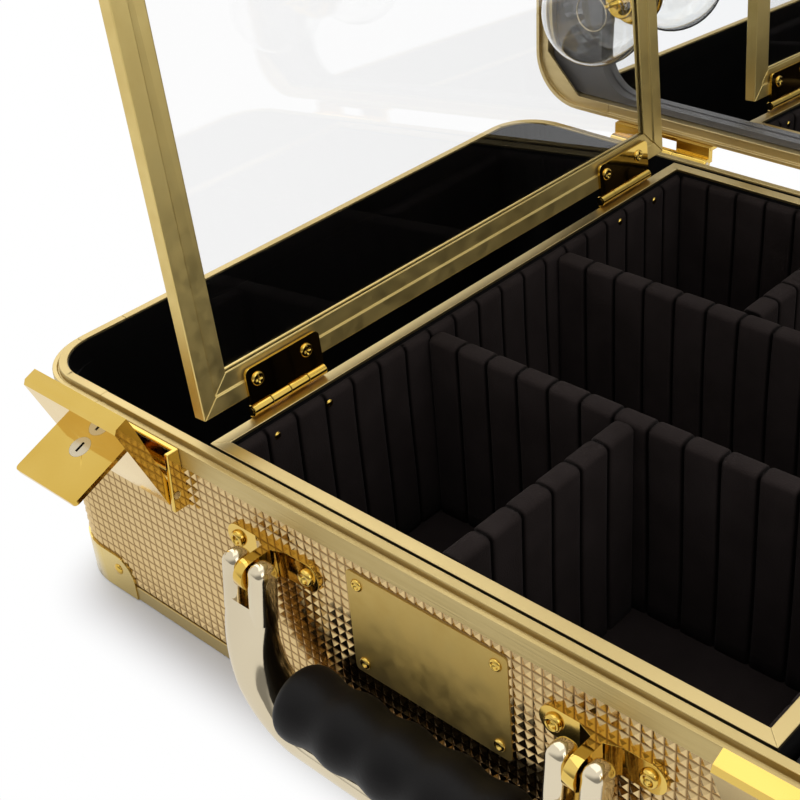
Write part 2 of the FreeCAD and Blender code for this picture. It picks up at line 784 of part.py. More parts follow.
node("cover_pane", [pane], cover_pose)


# One of a hinge's knuckles along its pin, counted from the low end.
def knuckle(mid, length, part, count):
    low = "(%s - %s / 2 + %d * %s / %d)" % (mid, length, part, length, count)
    high = "(%s - %s / 2 + %d * %s / %d)" % (mid, length, part + 1, length, count)
    return (low + " + knuckle_play / 2", high + " - knuckle_play / 2")


eye_sides = 12
pin_sides = 16


def butt_hinge(name, mid):
    whole_y = ("%s - butt_length / 2" % mid, "%s + butt_length / 2" % mid)
    pin_foot = (axis_x, whole_y[0], axis_z)
    leaf_z = ("%s - butt_leaf" % cover_low, cover_low)
    clear = "%s + butt_knuckle + knuckle_play" % axis_x
    leaf_x = (clear, axis_x + " + butt_reach")
    leaf_middle = value(axis_x + " + butt_reach / 2")
    plate = slab(name + "_plate", leaf_x, whole_y, leaf_z, "butt_round", lambda spot: spot.x > leaf_middle)
    solids = [plate]
    for part in (1, 3):
        y = knuckle(mid, "butt_length", part, 4)
        eye_foot = (axis_x, y[0], axis_z)
        solids.append(box("%s_arm%d" % (name, part), (axis_x, clear), y, leaf_z))
        solids.append(rod("%s_eye%d" % (name, part), "y", "butt_knuckle", span(*y), eye_foot, eye_sides))
    bore = rod(name + "_bore", "y", "butt_pin + pin_play", "butt_length", pin_foot, pin_sides)
    moving = cut(name + "_moving", join(name + "_leaf", solids), bore)
    tray_x = (axis_x + " - butt_leaf", axis_x)
    plate_z = (tray_top + " - butt_reach", "%s - butt_knuckle - knuckle_play" % axis_z)
    solids = [box(name + "_back", tray_x, whole_y, plate_z)]
    for part in (0, 2):
        y = knuckle(mid, "butt_length", part, 4)
        eye_foot = (axis_x, y[0], axis_z)
        solids.append(box("%s_neck%d" % (name, part), tray_x, y, (plate_z[1], axis_z)))
        solids.append(rod("%s_eye%d" % (name, part), "y", "butt_knuckle", span(*y), eye_foot, eye_sides))
    bore = rod(name + "_hole", "y", "butt_pin + pin_play", "butt_length", pin_foot, pin_sides)
    still = cut(name + "_still", join(name + "_base", solids), bore)
    pin = rod(name + "_pin", "y", "butt_pin", "butt_length", pin_foot, pin_sides)
    return moving, still, pin


hinges = [
    butt_hinge("butt_front", "(%s + butt_front_room)" % tray_f),
    butt_hinge("butt_back", "(%s - butt_back_room)" % tray_b),
]
node("cover_hinge_cover_leaves", [each[0] for each in hinges], cover_pose)
node("cover_hinge_tray_leaves", [each[1] for each in hinges])
node("cover_hinge_pins", [each[2] for each in hinges])

# Lid, drawn closed over the base and then opened about its rear hinge.
lid_axis_y = "(case_depth / 2 + lid_axis_out)"
lid_axis_z = "(rim_top - lid_axis_drop)"
lid_pose = turned((0, value(lid_axis_y), value(lid_axis_z)), (-1, 0, 0), value("lid_open_angle"))

lid_foot = lid_channel + " + panel_play"
lid_head = lid_top + " - trim_thick"
lid_broad = (lid_head + " - floor_thick", lid_head)
node("lid_top_panel", [stepped_floor("lid_panel", lid_broad, (lid_head, lid_top))], lid_pose)
lid_front = long_panel("lid_front", lid_foot, lid_head)
node("lid_long_panels", pair(lid_front, (0, 1, 0)), lid_pose)
node("lid_end_panels", pair(end_panel("lid_end", lid_foot, lid_head), (1, 0, 0)), lid_pose)
node("lid_corner_posts", posts("lid_post", lid_rim_head, lid_head), lid_pose)
node("lid_top_trims", trims("lid_trim", down), lid_pose)
node("lid_corner_caps", cap("lid_cap", down), lid_pose)
lid_rim = [
    ("0", lid_skirt),
    ("0", lid_rim_head),
    ("panel_inset", lid_rim_head),
    ("panel_inset", lid_channel),
    (shell, lid_channel),
    (shell, lid_rim_head),
    (rim_width, lid_rim_head),
    (rim_width, lid_face),
    ("ledge_width", lid_face),
    ("ledge_width", lid_skirt),
]
rims = long_run("lid_rim_long", lid_rim) + short_run("lid_rim_short", lid_rim)
node("lid_rims", rims, lid_pose)
lid_bend = lid_rim[:2] + lid_rim[6:]
lid_corner = corner_piece("lid_rim_corner", lid_bend, lid_rim)
web_in = "(corner_radius - %s)" % rim_width
web_out = "(corner_radius - ledge_width - groove_width)"
web_middle = web_out + " * sqrt(0.5)"
web = [(web_in, "0"), (web_out, "0"), (web_middle, web_middle), ("0", web_out), ("0", web_in)]
pad(lid_corner, "XY_Plane", web, "web_thick", lift=lid_face)
node("lid_rim_corners", four(lid_corner), lid_pose)

board = new_body("board")
board_low = "(%s + board_drop)" % lid_face
board_x = half_x + " - %s - floor_play" % rim_width
board_y = half_y + " - %s - floor_play" % rim_width
outline = corners(both(board_x), both(board_y))
blank = pad(board, "XY_Plane", outline, "board_thick", lift=board_low)
board.Tip = round_off(board, blank, lambda edge: runs(edge, "z"), "board_round")
glass_x = "case_length / 2 - mirror_side"
glass_y = "case_depth / 2 - mirror_edge"
bed_x = glass_x + " + mirror_play"
bed_y = glass_y + " + mirror_play"
bed = board.newObject("PartDesign::Pocket", "board_bed")
bed_outline = corners(both(bed_x), both(bed_y))
bed.Profile = sketch_on(board, "XY_Plane", bed_outline, board_low)
bind(bed, "Length", "mirror_recess + mirror_thick")
bed.Reversed = True
doc.recompute()
reach_x = value(bed_x)


def bed_edge(edge):
    return runs(edge, "z") and abs(abs(middle(edge).x) - reach_x) < near


round_off(board, bed, bed_edge, "mirror_round")
node("mirror_board", [board], lid_pose)
mirror_face = "(%s + mirror_recess)" % board_low
glass_z = (mirror_face, mirror_face + " + mirror_thick")
mirror = slab("mirror_glass", both(glass_x), both(glass_y), glass_z, "mirror_round + mirror_play")
node("mirror", [mirror], lid_pose)


# A solid of flat-sided rings, each given by its reach and its level along Z, or along X if it lies.
def ringed(rings, sides, lies=False):
    loops = []
    for reach, level in rings:
        loop = []
        for side_index in range(sides + 1):
            turn = 2 * math.pi * side_index / sides
            spot = (reach * math.cos(turn), reach * math.sin(turn), level)
            loop.append(FreeCAD.Vector(spot[2], spot[0], spot[1]) if lies else FreeCAD.Vector(*spot))
        loops.append(loop)
    faces = [Part.Face(Part.makePolygon(loops[0])), Part.Face(Part.makePolygon(loops[-1]))]
    for low, high in zip(loops, loops[1:]):
        for k in range(sides):
            faces.append(Part.Face(Part.makePolygon([low[k], low[k + 1], high[k + 1], high[k], low[k]])))
    solid = Part.Solid(Part.Shell(faces))
    return solid if solid.Volume > 0 else solid.reversed()


# A globe with a neck: rings from the closed end of the globe to the neck's foot.
def bulb_form(radius, neck, tall, bands, sides):
    last = math.pi - math.asin(neck / radius)
    first = last / (3 * bands)
    rings = []
    for index in range(bands + 1):
        angle = first + (last - first) * index / bands
        rings.append((radius * math.sin(angle), -radius * math.cos(angle)))
    rings.append((neck, tall))
    return ringed(rings, sides)


bulb_sides = 14
neck_tall = value("bulb_stand - socket_height")
glass = value("bulb_glass")
outside = bulb_form(value("bulb_radius"), value("bulb_neck"), neck_tall, 6, bulb_sides)
inside = bulb_form(value("bulb_radius") - glass, value("bulb_neck") - glass, neck_tall, 4, bulb_sides)
envelope = outside.cut(inside)
bulb_z = value(mirror_face + " - bulb_stand")
bulbs = []
sockets = []
for column in (-1, 1):
    for row in (-1, 0, 1):
        tag = "%d%d" % (column + 1, row + 1)
        place = ("%d * (case_length / 2 - bulb_side)" % column, "%d * (case_depth / 2 - bulb_edge)" % row)
        bulbs.append(shaped("bulb" + tag, envelope, (value(place[0]), value(place[1]), bulb_z)))
        foot = place + (mirror_face + " - socket_height",)
        sockets.append(rod("socket" + tag, "z", "socket_radius", "socket_height", foot, bulb_sides))
node("bulb_sockets", sockets, lid_pose)
node("bulbs", bulbs, lid_pose)


def lid_hinge(name, mid):
    whole_x = ("%s - lid_hinge_length / 2" % mid, "%s + lid_hinge_length / 2" % mid)
    wall = half_y
    leaf_y = (wall, wall + " + lid_leaf")
    bore_foot = (whole_x[0], lid_axis_y, lid_axis_z)
    low = lid_axis_z + " - lid_knuckle"
    x = knuckle(mid, "lid_hinge_length", 1, 3)
    eye_foot = (x[0], lid_axis_y, lid_axis_z)
    base_plate_z = (low + " - lid_leaf_reach", low)
    solids = [
        box(name + "_base_plate", whole_x, leaf_y, base_plate_z),
        box(name + "_base_arm", x, (wall, lid_axis_y), (low + " - lid_leaf", low + " + lid_knuckle / 2")),
        rod(name + "_base_eye", "x", "lid_knuckle", span(*x), eye_foot, eye_sides),
    ]
    bore = rod(name + "_base_bore", "x", "lid_pin + pin_play", "lid_hinge_length", bore_foot, pin_sides)
    still = cut(name + "_still", join(name + "_base", solids), bore)
    high = lid_axis_z + " + lid_knuckle"
    solids = [box(name + "_lid_plate", whole_x, leaf_y, (high, high + " + lid_leaf_reach"))]
    for part in (0, 2):
        x = knuckle(mid, "lid_hinge_length", part, 3)
        arm_z = (high + " - lid_knuckle / 2", high + " + lid_leaf")
        eye_foot = (x[0], lid_axis_y, lid_axis_z)
        solids.append(box("%s_lid_arm%d" % (name, part), x, (wall, lid_axis_y), arm_z))
        solids.append(rod("%s_lid_eye%d" % (name, part), "x", "lid_knuckle", span(*x), eye_foot, eye_sides))
    bore = rod(name + "_lid_bore", "x", "lid_pin + pin_play", "lid_hinge_length", bore_foot, pin_sides)
    moving = cut(name + "_moving", join(name + "_lid", solids), bore)
    pin = rod(name + "_pin", "x", "lid_pin", "lid_hinge_length", bore_foot, pin_sides)
    return still, moving, pin


still, moving, pin = lid_hinge("lid_hinge", "(case_length / 2 - lid_hinge_side)")
node("lid_hinge_base_leaves", pair(still, (1, 0, 0)))
node("lid_hinge_lid_leaves", pair(moving, (1, 0, 0)), lid_pose)
node("lid_hinge_pins", pair(pin, (1, 0, 0)))

# A profile is a list of (distance in front of the panel, height), drawn out along the length.
def drawn_out(name, profile, x):
    body = new_body(name)
    outline = [("%s - (%s)" % (panel_front, out), high) for out, high in profile]
    pad(body, "YZ_Plane", outline, span(*x), lift=x[0])
    return body


latch_x = "(case_length / 2 - latch_side)"
latch_z = "(rim_top - latch_drop)"
lever_top = "(%s + lever_height)" % latch_z
hook_z = "(%s - lever_flange)" % lever_top
strike_top = "(%s - hook_play)" % hook_z
strike_x = (latch_x + " - strike_width / 2", latch_x + " + strike_width / 2")
strike = drawn_out("strike", [
    ("0", lid_rim_head + " + hook_play"),
    ("strike_plate", lid_rim_head + " + hook_play"),
    ("strike_plate", strike_top + " - strike_height"),
    ("strike_out", strike_top + " - strike_height"),
    ("strike_out", strike_top),
    ("0", strike_top),
], strike_x)
node("latch_strikes", pair(strike, (1, 0, 0)), lid_pose)

# Carrying handle, drawn hanging upright and then leaned out.
handle_z = "(rim_top - handle_drop)"
pivot_y = "(%s - handle_out)" % panel_front
handle_pose = turned((0, value(pivot_y), value(handle_z)), (-1, 0, 0), value("handle_tilt_angle"))
arm_out = "(handle_x + handle_bar / 2)"
arm_in = "(handle_x - handle_bar / 2)"
slot_out = "(handle_x + fork_slot / 2)"
slot_in = "(handle_x - fork_slot / 2)"
foot_z = "(%s - handle_fall)" % handle_z
strap_z = "(%s + handle_strap)" % foot_z
arm_top = "(%s + handle_rise)" % handle_z
slot_foot = "(%s - fork_depth)" % handle_z
half_outline = [
    (arm_out, foot_z),
    (arm_out, arm_top),
    (slot_out, arm_top),
    (slot_out, slot_foot),
    (slot_in, slot_foot),
    (slot_in, arm_top),
    (arm_in, arm_top),
    (arm_in, strap_z),
]
frame = new_body("handle_bar_body")
outline = half_outline + [("-" + across, high) for across, high in reversed(half_outline)]
bar = pad(frame, "XZ_Plane", outline, "handle_wide", symmetric=True)


def at_level(text):
    level = value(text)
    return lambda edge: runs(edge, "y") and abs(middle(edge).z - level) < near


outer = round_off(frame, bar, at_level(foot_z), "handle_outer_round")
inner = round_off(frame, outer, at_level(strap_z), "handle_inner_round")
round_off(frame, inner, at_level(arm_top), "fork_round")
put(frame, ("0", pivot_y, "0"))

# Seen from the side the arms have a domed top and widen towards the grip.
half_side = [
    ("handle_thick / 4", arm_top),
    ("handle_thick * 3 / 7", arm_top + " - handle_rise / 3"),
    ("handle_thick / 2", arm_top + " - handle_rise * 2 / 3"),
    ("handle_thick / 2", handle_z + " - handle_neck"),
    ("handle_wide / 2", strap_z + " + handle_strap"),
    ("handle_wide / 2", strap_z),
    ("handle_wide / 2 - handle_strap / 3", foot_z),
]
flank = new_body("handle_flank")
outline = half_side + [("-(%s)" % across, high) for across, high in reversed(half_side)]
pad(flank, "YZ_Plane", outline, "2 * %s" % arm_out, symmetric=True)
put(flank, ("0", pivot_y, "0"))
bow = doc.addObject("Part::Common", "handle_bow")
bow.Base = frame
bow.Tool = flank
pins = []
bores = []
for tag, sign in (("l", "-"), ("r", "")):
    pin_foot = ("%shandle_x - handle_bar / 2" % sign, pivot_y, handle_z)
    pins.append(rod("handle_pin_" + tag, "x", "handle_pin", "handle_bar", pin_foot, pin_sides))
    fork_bore = rod("fork_bore_" + tag, "x", "handle_pin + pin_play", "handle_bar", pin_foot, pin_sides)
    bores.append(fork_bore)
handle = cut("handle_bored", bow, join("fork_bores", bores))
node("handle_frame", [handle], handle_pose)
node("handle_pins", pins, handle_pose)


# The grip lies along X, swells between the fingers and closes in at its ends.
def grip_shape(sides):
    length = value("grip_length")
    pitch = value("grip_pitch")
    count = 3 * round(length / pitch)
    rings = []
    for index in range(count + 1):
        x = -length / 2 + length * index / count
        wave = value("grip_wave") * math.cos(2 * math.pi * x / pitch)
        shrink = value("grip_close") * max(0, 1 - (length / 2 - abs(x)) / value("grip_end"))
        rings.append((value("grip_radius") + wave - shrink, x))
    return ringed(rings, sides, lies=True)


grip_spot = (0, value(pivot_y), value(foot_z + " + grip_up"))
node("handle_grip", [cut("grip_on_bar", shaped("grip_core", grip_shape(24), grip_spot), handle)], handle_pose)

# Handle brackets: a strip with a rounded eye at each end and a raised saddle that carries the lug.
lug_half = "bracket_lug / 2"
saddle_half = [
    ("bracket_length / 2", "0"),
    ("bracket_length / 2", "bracket_plate"),
    ("bracket_saddle", "bracket_plate"),
    (lug_half, "bracket_plate + bracket_rise"),
    (lug_half, "handle_out"),
]
saddle = saddle_half + [("-(%s)" % across, out) for across, out in reversed(saddle_half)]
strip = new_body("bracket_strip")
outline = [("handle_x + " + across, "%s - (%s)" % (panel_front, out)) for across, out in saddle]
pad(strip, "XY_Plane", outline, "2 * lug_radius", lift="%s - lug_radius" % handle_z)
face = new_body("bracket_face")
outline = corners(
    ("handle_x - bracket_length / 2", "handle_x + bracket_length / 2"),
    (handle_z + " - lug_radius", handle_z + " + lug_radius"),
)
blank = pad(face, "XZ_Plane", outline, "handle_out", lift="-" + panel_front)
round_off(face, blank, lambda edge: runs(edge, "y"), "lug_radius - pin_play")
shape = doc.addObject("Part::Common", "bracket_shape")
shape.Base = strip
shape.Tool = face
lug_foot = ("handle_x - " + lug_half, pivot_y, handle_z)
lug_end = rod("bracket_lug_end", "x", "lug_radius", "bracket_lug", lug_foot)
bracket_bore = rod("bracket_bore", "x", "handle_pin + pin_play", "bracket_lug", lug_foot, pin_sides)
bracket = cut("bracket", join("bracket_solid", [shape, lug_end]), bracket_bore)
node("handle_brackets", pair(bracket, (1, 0, 0)))
rivets = []
for tag, sign in (("a", "-"), ("b", "+")):
    rivet_foot = (
        "handle_x %s (bracket_length / 2 - lug_radius)" % sign,
        panel_front + " - bracket_plate - rivet_head",
        handle_z,
    )
    rivet = rod("handle_rivet_" + tag, "y", "rivet_radius", "rivet_head", rivet_foot, eye_sides)
    rivets += pair(rivet, (1, 0, 0))
node("handle_rivets", rivets)

# Draw latches: a hooked lever with a locking tab, hung between the cheeks of a channel base.
latch_y = "(%s - latch_axis_out)" % panel_front
lever_pose = turned((0, value(latch_y), value(latch_z)), (1, 0, 0), value("latch_tilt_angle"))
lever_l = "(%s - latch_width / 2)" % latch_x
lever_r = "(%s + latch_width / 2)" % latch_x
lever_face = "lever_out + lever_plate"
lever_foot_z = "%s - lever_foot" % latch_z
latch_top = "(%s + latch_head)" % latch_z
plate_out = "(%s - lever_out - lever_plate)" % panel_front
tab_top = "(%s + tab_height)" % latch_z
tab_low = "(%s - tab_thick)" % tab_top
lock_y = "(%s - lock_out)" % plate_out
lock_foot = (latch_x, lock_y, tab_top + " - lock_depth")
lever_profile = [
    (lever_face, lever_foot_z),
    (lever_face, lever_top + " - lever_bevel"),
    (lever_face + " - lever_bevel", lever_top),
    ("lever_hook", lever_top),
    ("lever_hook", hook_z),
    ("lever_out", hook_z),
    ("lever_out", lever_foot_z),
]
cheek_profile = [
    ("lever_out", lever_foot_z),
    ("lever_out", hook_z),
    ("lever_hook", hook_z),
    ("cheek_back", lever_foot_z),
]
tab_edge = value(plate_out + " - tab_reach / 2")
tab = slab(
    "lever_tab",
    (latch_x + " - tab_width / 2", latch_x + " + tab_width / 2"),
    (plate_out + " - tab_reach", plate_out), (tab_low, tab_top),
    "tab_round", lambda spot: spot.y < tab_edge,
)
lock_box = box(
    "lever_lock_body",
    (latch_x + " - lock_radius - lock_wall", latch_x + " + lock_radius + lock_wall"),
    (lock_y + " - lock_radius - lock_wall", plate_out),
    (tab_top + " - lock_depth", tab_top),
)
solids = [drawn_out("lever_plate_body", lever_profile, (lever_l, lever_r)), tab, lock_box]
for tag, x in (("a", (lever_l, lever_l + " + lever_cheek")), ("b", (lever_r + " - lever_cheek", lever_r))):
    solids.append(drawn_out("lever_cheek_" + tag, cheek_profile, x))
    eye_foot = (x[0], latch_y, latch_z)
    solids.append(rod("lever_eye_" + tag, "x", "lever_eye", "lever_cheek", eye_foot))
lever_bores = [
    rod("lever_bore", "x", "latch_pin + pin_play", "latch_width", (lever_l, latch_y, latch_z), pin_sides),
    rod("lock_bore", "z", "lock_radius + pin_play", "lock_depth", lock_foot),
]
lever = cut("lever_solid", join("lever_blank", solids), join("lever_bores", lever_bores))
plug = cut(
    "lock_plug_solid",
    rod("lock_core", "z", "lock_radius", "lock_depth", lock_foot),
    box(
        "lock_key",
        (latch_x + " - lock_slot / 2", latch_x + " + lock_slot / 2"),
        (lock_y + " - lock_radius / 2", lock_y + " + lock_radius / 2"),
        (tab_top + " - lock_depth / 2", tab_top),
    ),
)
node("latch_lever_left", [mirrored(lever, (1, 0, 0))], lever_pose)
node("latch_lever_right", [lever], lever_pose)
node("lock_plug_left", [mirrored(plug, (1, 0, 0))], lever_pose)
node("lock_plug_right", [plug], lever_pose)

# The base stands on the panel and steps out over the rim's face.
base_l = "(%s - cheek_play - latch_cheek)" % lever_l
base_r = "(%s + cheek_play + latch_cheek)" % lever_r
latch_low = "(%s - latch_foot)" % latch_z
over_rim = [
    ("panel_inset", latch_top),
    ("panel_inset", rim_foot + " - panel_play"),
    ("0", rim_foot + " - panel_play"),
    ("0", latch_low),
]
back_profile = over_rim + [
    ("latch_plate", latch_low),
    ("latch_plate", latch_top + " - latch_lip_thick"),
    ("latch_lip", latch_top + " - latch_lip_thick"),
    ("latch_lip", latch_top),
]
side_profile = over_rim + [
    ("latch_cheek_out", latch_low),
    ("latch_cheek_out - latch_cheek_slope", latch_top),
]
solids = [drawn_out("latch_back", back_profile, (base_l, base_r))]
for tag, x in (("a", (base_l, base_l + " + latch_cheek")), ("b", (base_r + " - latch_cheek", base_r))):
    solids.append(drawn_out("latch_cheek_" + tag, side_profile, x))
pin_foot = (base_l, latch_y, latch_z)
latch_bore = rod("latch_bore", "x", "latch_pin + pin_play", span(base_l, base_r), pin_foot, pin_sides)
base = cut("latch_base_solid", join("latch_base_blank", solids), latch_bore)
node("latch_bases", pair(base, (1, 0, 0)))
latch_pin = rod("latch_pin_solid", "x", "latch_pin", span(base_l, base_r), pin_foot, pin_sides)
node("latch_pins", pair(latch_pin, (1, 0, 0)))

plate = new_body("name_plate")
plate_z = "(rim_top - plate_drop)"
outline = corners(
    ("-plate_length / 2", "plate_length / 2"),
    ("%s - plate_height / 2" % plate_z, "%s + plate_height / 2" % plate_z),
)
blank = pad(plate, "XZ_Plane", outline, "plate_thick")
round_off(plate, blank, lambda edge: runs(edge, "y"), "plate_round")
put(plate, ("0", panel_front, "0"))
node("front_plate", [plate])

doc.recompute()
broken = []
for each in doc.Objects:
    if "Invalid" in each.State or "Error" in each.State:
        broken.append(each.Name)
for each in nodes:
    if each.Shape.isNull() or not each.Shape.isValid() or not each.Shape.Solids:
        broken.append(each.Label)
if broken:
    raise RuntimeError("not built: " + ", ".join(broken))
os.makedirs("parts", exist_ok=True)
for each in nodes:
    each.Shape.exportStep("parts/%s.step" % each.Label)
print(len(nodes), "nodes written")
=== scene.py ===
import json
import math

import bmesh
import bpy
import numpy as np
from mathutils import Matrix, Vector


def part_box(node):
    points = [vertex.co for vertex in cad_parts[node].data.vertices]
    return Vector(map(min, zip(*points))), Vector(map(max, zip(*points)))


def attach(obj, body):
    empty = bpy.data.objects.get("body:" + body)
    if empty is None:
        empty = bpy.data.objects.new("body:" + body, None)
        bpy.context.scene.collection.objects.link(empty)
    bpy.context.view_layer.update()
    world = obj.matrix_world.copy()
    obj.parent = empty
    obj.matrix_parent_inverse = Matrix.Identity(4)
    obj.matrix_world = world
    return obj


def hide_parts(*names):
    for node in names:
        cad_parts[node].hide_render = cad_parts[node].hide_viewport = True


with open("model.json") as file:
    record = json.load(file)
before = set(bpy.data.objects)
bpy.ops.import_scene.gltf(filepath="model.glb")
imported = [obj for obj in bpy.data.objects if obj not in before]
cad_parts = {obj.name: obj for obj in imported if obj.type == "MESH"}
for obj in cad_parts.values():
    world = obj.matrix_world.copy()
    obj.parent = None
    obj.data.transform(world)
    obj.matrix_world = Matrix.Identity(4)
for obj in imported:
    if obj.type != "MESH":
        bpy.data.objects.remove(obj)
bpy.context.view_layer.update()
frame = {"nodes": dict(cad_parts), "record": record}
mm = 0.001  # the sizes below are in millimetres, the meshes in metres
joints = {joint["name"]: joint for joint in frame["record"]["behaviour"]["joints"]}
slotOf = {row["node"]: row["material_slot"] for row in frame["record"]["subparts"]}


def nodeBox(name):  # a CAD node's lowest and highest corner, in millimetres
    low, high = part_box(name)
    return np.array(low) / mm, np.array(high) / mm


def pivot(jointName):  # a hinge's point, in millimetres
    return np.array(joints[jointName]["pos_m"]) / mm


# how far each body stands at rest from its closed or upright place: point, axis and degrees
restTurn = {
    "lid": (pivot("lid_hinge"), (-1, 0, 0), 92),
    "cover": (pivot("cover_hinge"), (0, -1, 0), 94.2),
    "handle": (pivot("handle_hinge"), (-1, 0, 0), 7),
}


def atRest(points, name):  # turns points from the closed place to the rest place
    spot, axis, degrees = restTurn[name]
    turn = np.array(Matrix.Rotation(math.radians(degrees), 3, Vector(axis)))
    return (np.asarray(points, float) - spot) @ turn.T + spot


def newMaterial(name):  # a material, its node tree and its main shader
    material = bpy.data.materials.new(name)
    material.use_nodes = True
    return material, material.node_tree, material.node_tree.nodes["Principled BSDF"]


def setInputs(node, values):  # fills in the inputs of a node that stay unlinked
    for socket, value in values.items():
        node.inputs[socket].default_value = value


def addNode(tree, kind, values=None, **settings):  # a new shader node, set up
    node = tree.nodes.new("ShaderNode" + kind)
    for key, value in settings.items():
        setattr(node, key, value)
    setInputs(node, values or {})
    return node


def addBump(tree, height, strength, distance):  # fine relief: the surface leans by the pattern's slope
    bump = addNode(tree, "Bump", {"Strength": strength, "Distance": distance})
    tree.links.new(height, bump.inputs["Height"])
    tree.links.new(bump.outputs["Normal"], tree.nodes["Principled BSDF"].inputs["Normal"])


def noiseOn(tree, scale, stretch=(1, 1, 1), detail=3.0):
    # a soft random pattern from 0 to 1 over the piece's own coordinates, drawn out by the stretch
    coords = addNode(tree, "TexCoord")
    mapping = addNode(tree, "Mapping", {"Scale": stretch})
    noise = addNode(tree, "TexNoise", {"Scale": scale, "Detail": detail})
    tree.links.new(coords.outputs["Object"], mapping.inputs["Vector"])
    tree.links.new(mapping.outputs["Vector"], noise.inputs["Vector"])
    return noise.outputs["Fac"]


def blendOf(tree, source, low, high):  # two colours mixed by a pattern, each given with its level
    band = addNode(tree, "ValToRGB")
    for number, (level, colour) in enumerate((low, high)):
        element = band.color_ramp.elements[number]
        element.position, element.color = level, (*colour, 1)
    tree.links.new(source, band.inputs["Fac"])
    return band.outputs["Color"]


def spread(tree, source, low, high):  # turns a 0 to 1 pattern into a narrower range of values
    span = addNode(tree, "MapRange", {"To Min": low, "To Max": high})
    tree.links.new(source, span.inputs["Value"])
    return span.outputs["Result"]


def eased(tree, source, levels, values):  # a smooth step from one value to another between two levels
    step = addNode(tree, "MapRange", interpolation_type="SMOOTHSTEP")
    setInputs(step, {"From Min": levels[0], "From Max": levels[1]})
    setInputs(step, {"To Min": values[0], "To Max": values[1]})
    tree.links.new(source, step.inputs["Value"])
    return step.outputs["Result"]


def multiplied(tree, first, second):  # the product of two colours
    shade = addNode(tree, "Mix", {"Factor": 1.0}, data_type="RGBA", blend_type="MULTIPLY")
    tree.links.new(first, shade.inputs["A"])
    tree.links.new(second, shade.inputs["B"])
    return shade.outputs["Result"]


def combined(tree, operation, first, second):  # one value from two
    step = addNode(tree, "Math", operation=operation)
    tree.links.new(first, step.inputs[0])
    tree.links.new(second, step.inputs[1])
    return step.outputs[0]


def mixedShaders(tree, share, first, second):  # the first shader giving way to the second by a share
    mix = addNode(tree, "MixShader")
    tree.links.new(share, mix.inputs["Fac"])
    tree.links.new(first, mix.inputs[1])
    tree.links.new(second, mix.inputs[2])
    return mix.outputs[0]


def fullnessOf(tree, low, high):  # painted shade by a piece's own fullness, darkest in the sunk lines, none on raised parts
    rise = addNode(tree, "Attribute", attribute_name="fullness")
    return blendOf(tree, rise.outputs["Fac"], low, high)


# patterns of the finishes: each noise is given by scale, stretch and detail, or by scale alone;
# levels are where the deep colour ends and the bright one begins, and depths are in metres
even = (1, 1, 1)
plateLook = {
    "drift": (22.0, even, 2.0), "levels": (0.3, 0.65), "haze": (160.0, even, 4.0),
    "hazeSpan": (0.6, 1.4), "relief": (45.0, even, 3.0), "depth": 0.002,
}
drawnLook = {
    "drift": (14.0, even, 2.0), "levels": (0.3, 0.7), "haze": (700.0, (0.04, 0.04, 1.0), 2.0),
    "hazeSpan": (0.7, 1.3), "relief": (1400.0, (0.02, 0.02, 1.0), 1.0), "depth": 0.0005,
}
# painted shade in the valleys between the studs: darkest at a stud's corners, none from a little way up
# its sides
paintedValleyShade = {"low": (0.03, (0.42, 0.36, 0.3)), "high": (0.28, (1, 1, 1))}
boardLook = {
    "drift": 30.0, "levels": (0.3, 0.7), "darkShare": 0.6, "haze": 260.0, "hazeSpan": (0.9, 1.1),
    "relief": (1100.0, even, 2.0), "depth": 0.0005,
}
clothLook = {
    "nap": 55.0, "levels": (0.3, 0.75), "relief": (1500.0, even, 2.0), "strength": 0.4,
    # seam is the painted shade in the sunk seams, full the pleats left as they are
    "depth": 0.0005, "seam": (0.6, (0.03, 0.03, 0.03)), "full": (0.96, (1, 1, 1)),
    "inputs": {
        "Roughness": 0.72, "Specular IOR Level": 0.06, "Specular Tint": (1.0, 0.8, 0.74, 1),
        "Sheen Weight": 0.03, "Sheen Roughness": 0.5, "Sheen Tint": (1.0, 0.85, 0.8, 1),
    },
}
clearLook = {"haze": 35.0, "hazeSpan": (0.0, 0.012)}
mirrorLook = {"colour": (0.9, 0.91, 0.92, 1), "haze": 25.0, "hazeSpan": (0.008, 0.025)}


def metal(name, look, colour, deep, roughness):
    # colour drifts slowly between two golds, and haze wanders round the roughness
    material, tree, shader = newMaterial(name)
    setInputs(shader, {"Metallic": 1.0})
    deepTo, brightFrom = look["levels"]
    drift = blendOf(tree, noiseOn(tree, *look["drift"]), (deepTo, deep), (brightFrom, colour))
    least, most = look["hazeSpan"]
    haze = spread(tree, noiseOn(tree, *look["haze"]), least * roughness, most * roughness)
    tree.links.new(drift, shader.inputs["Base Color"])
    tree.links.new(haze, shader.inputs["Roughness"])
    return material, tree, shader, drift


def studded(name, colour, deep, roughness):
    # gold-faced sheet: bright studs, and painted shade, dull brown, in the valleys between them; a
    # panel without studs takes that painted shade all over, seen round the hardware
    material, tree, shader, drift = metal(name, plateLook, colour, deep, roughness)
    valleyShade = fullnessOf(tree, paintedValleyShade["low"], paintedValleyShade["high"])
    tree.links.new(multiplied(tree, drift, valleyShade), shader.inputs["Base Color"])
    return material


def plated(name, colour, deep, roughness, waver):  # polished plate with a faint waver in the polish
    material, tree = metal(name, plateLook, colour, deep, roughness)[:2]
    addBump(tree, noiseOn(tree, *plateLook["relief"]), waver, plateLook["depth"])
    return material


def drawnMetal(name, colour, deep, roughness, lines):  # extruded strip with fine die lines
    material, tree = metal(name, drawnLook, colour, deep, roughness)[:2]
    addBump(tree, noiseOn(tree, *drawnLook["relief"]), lines, drawnLook["depth"])
    return material


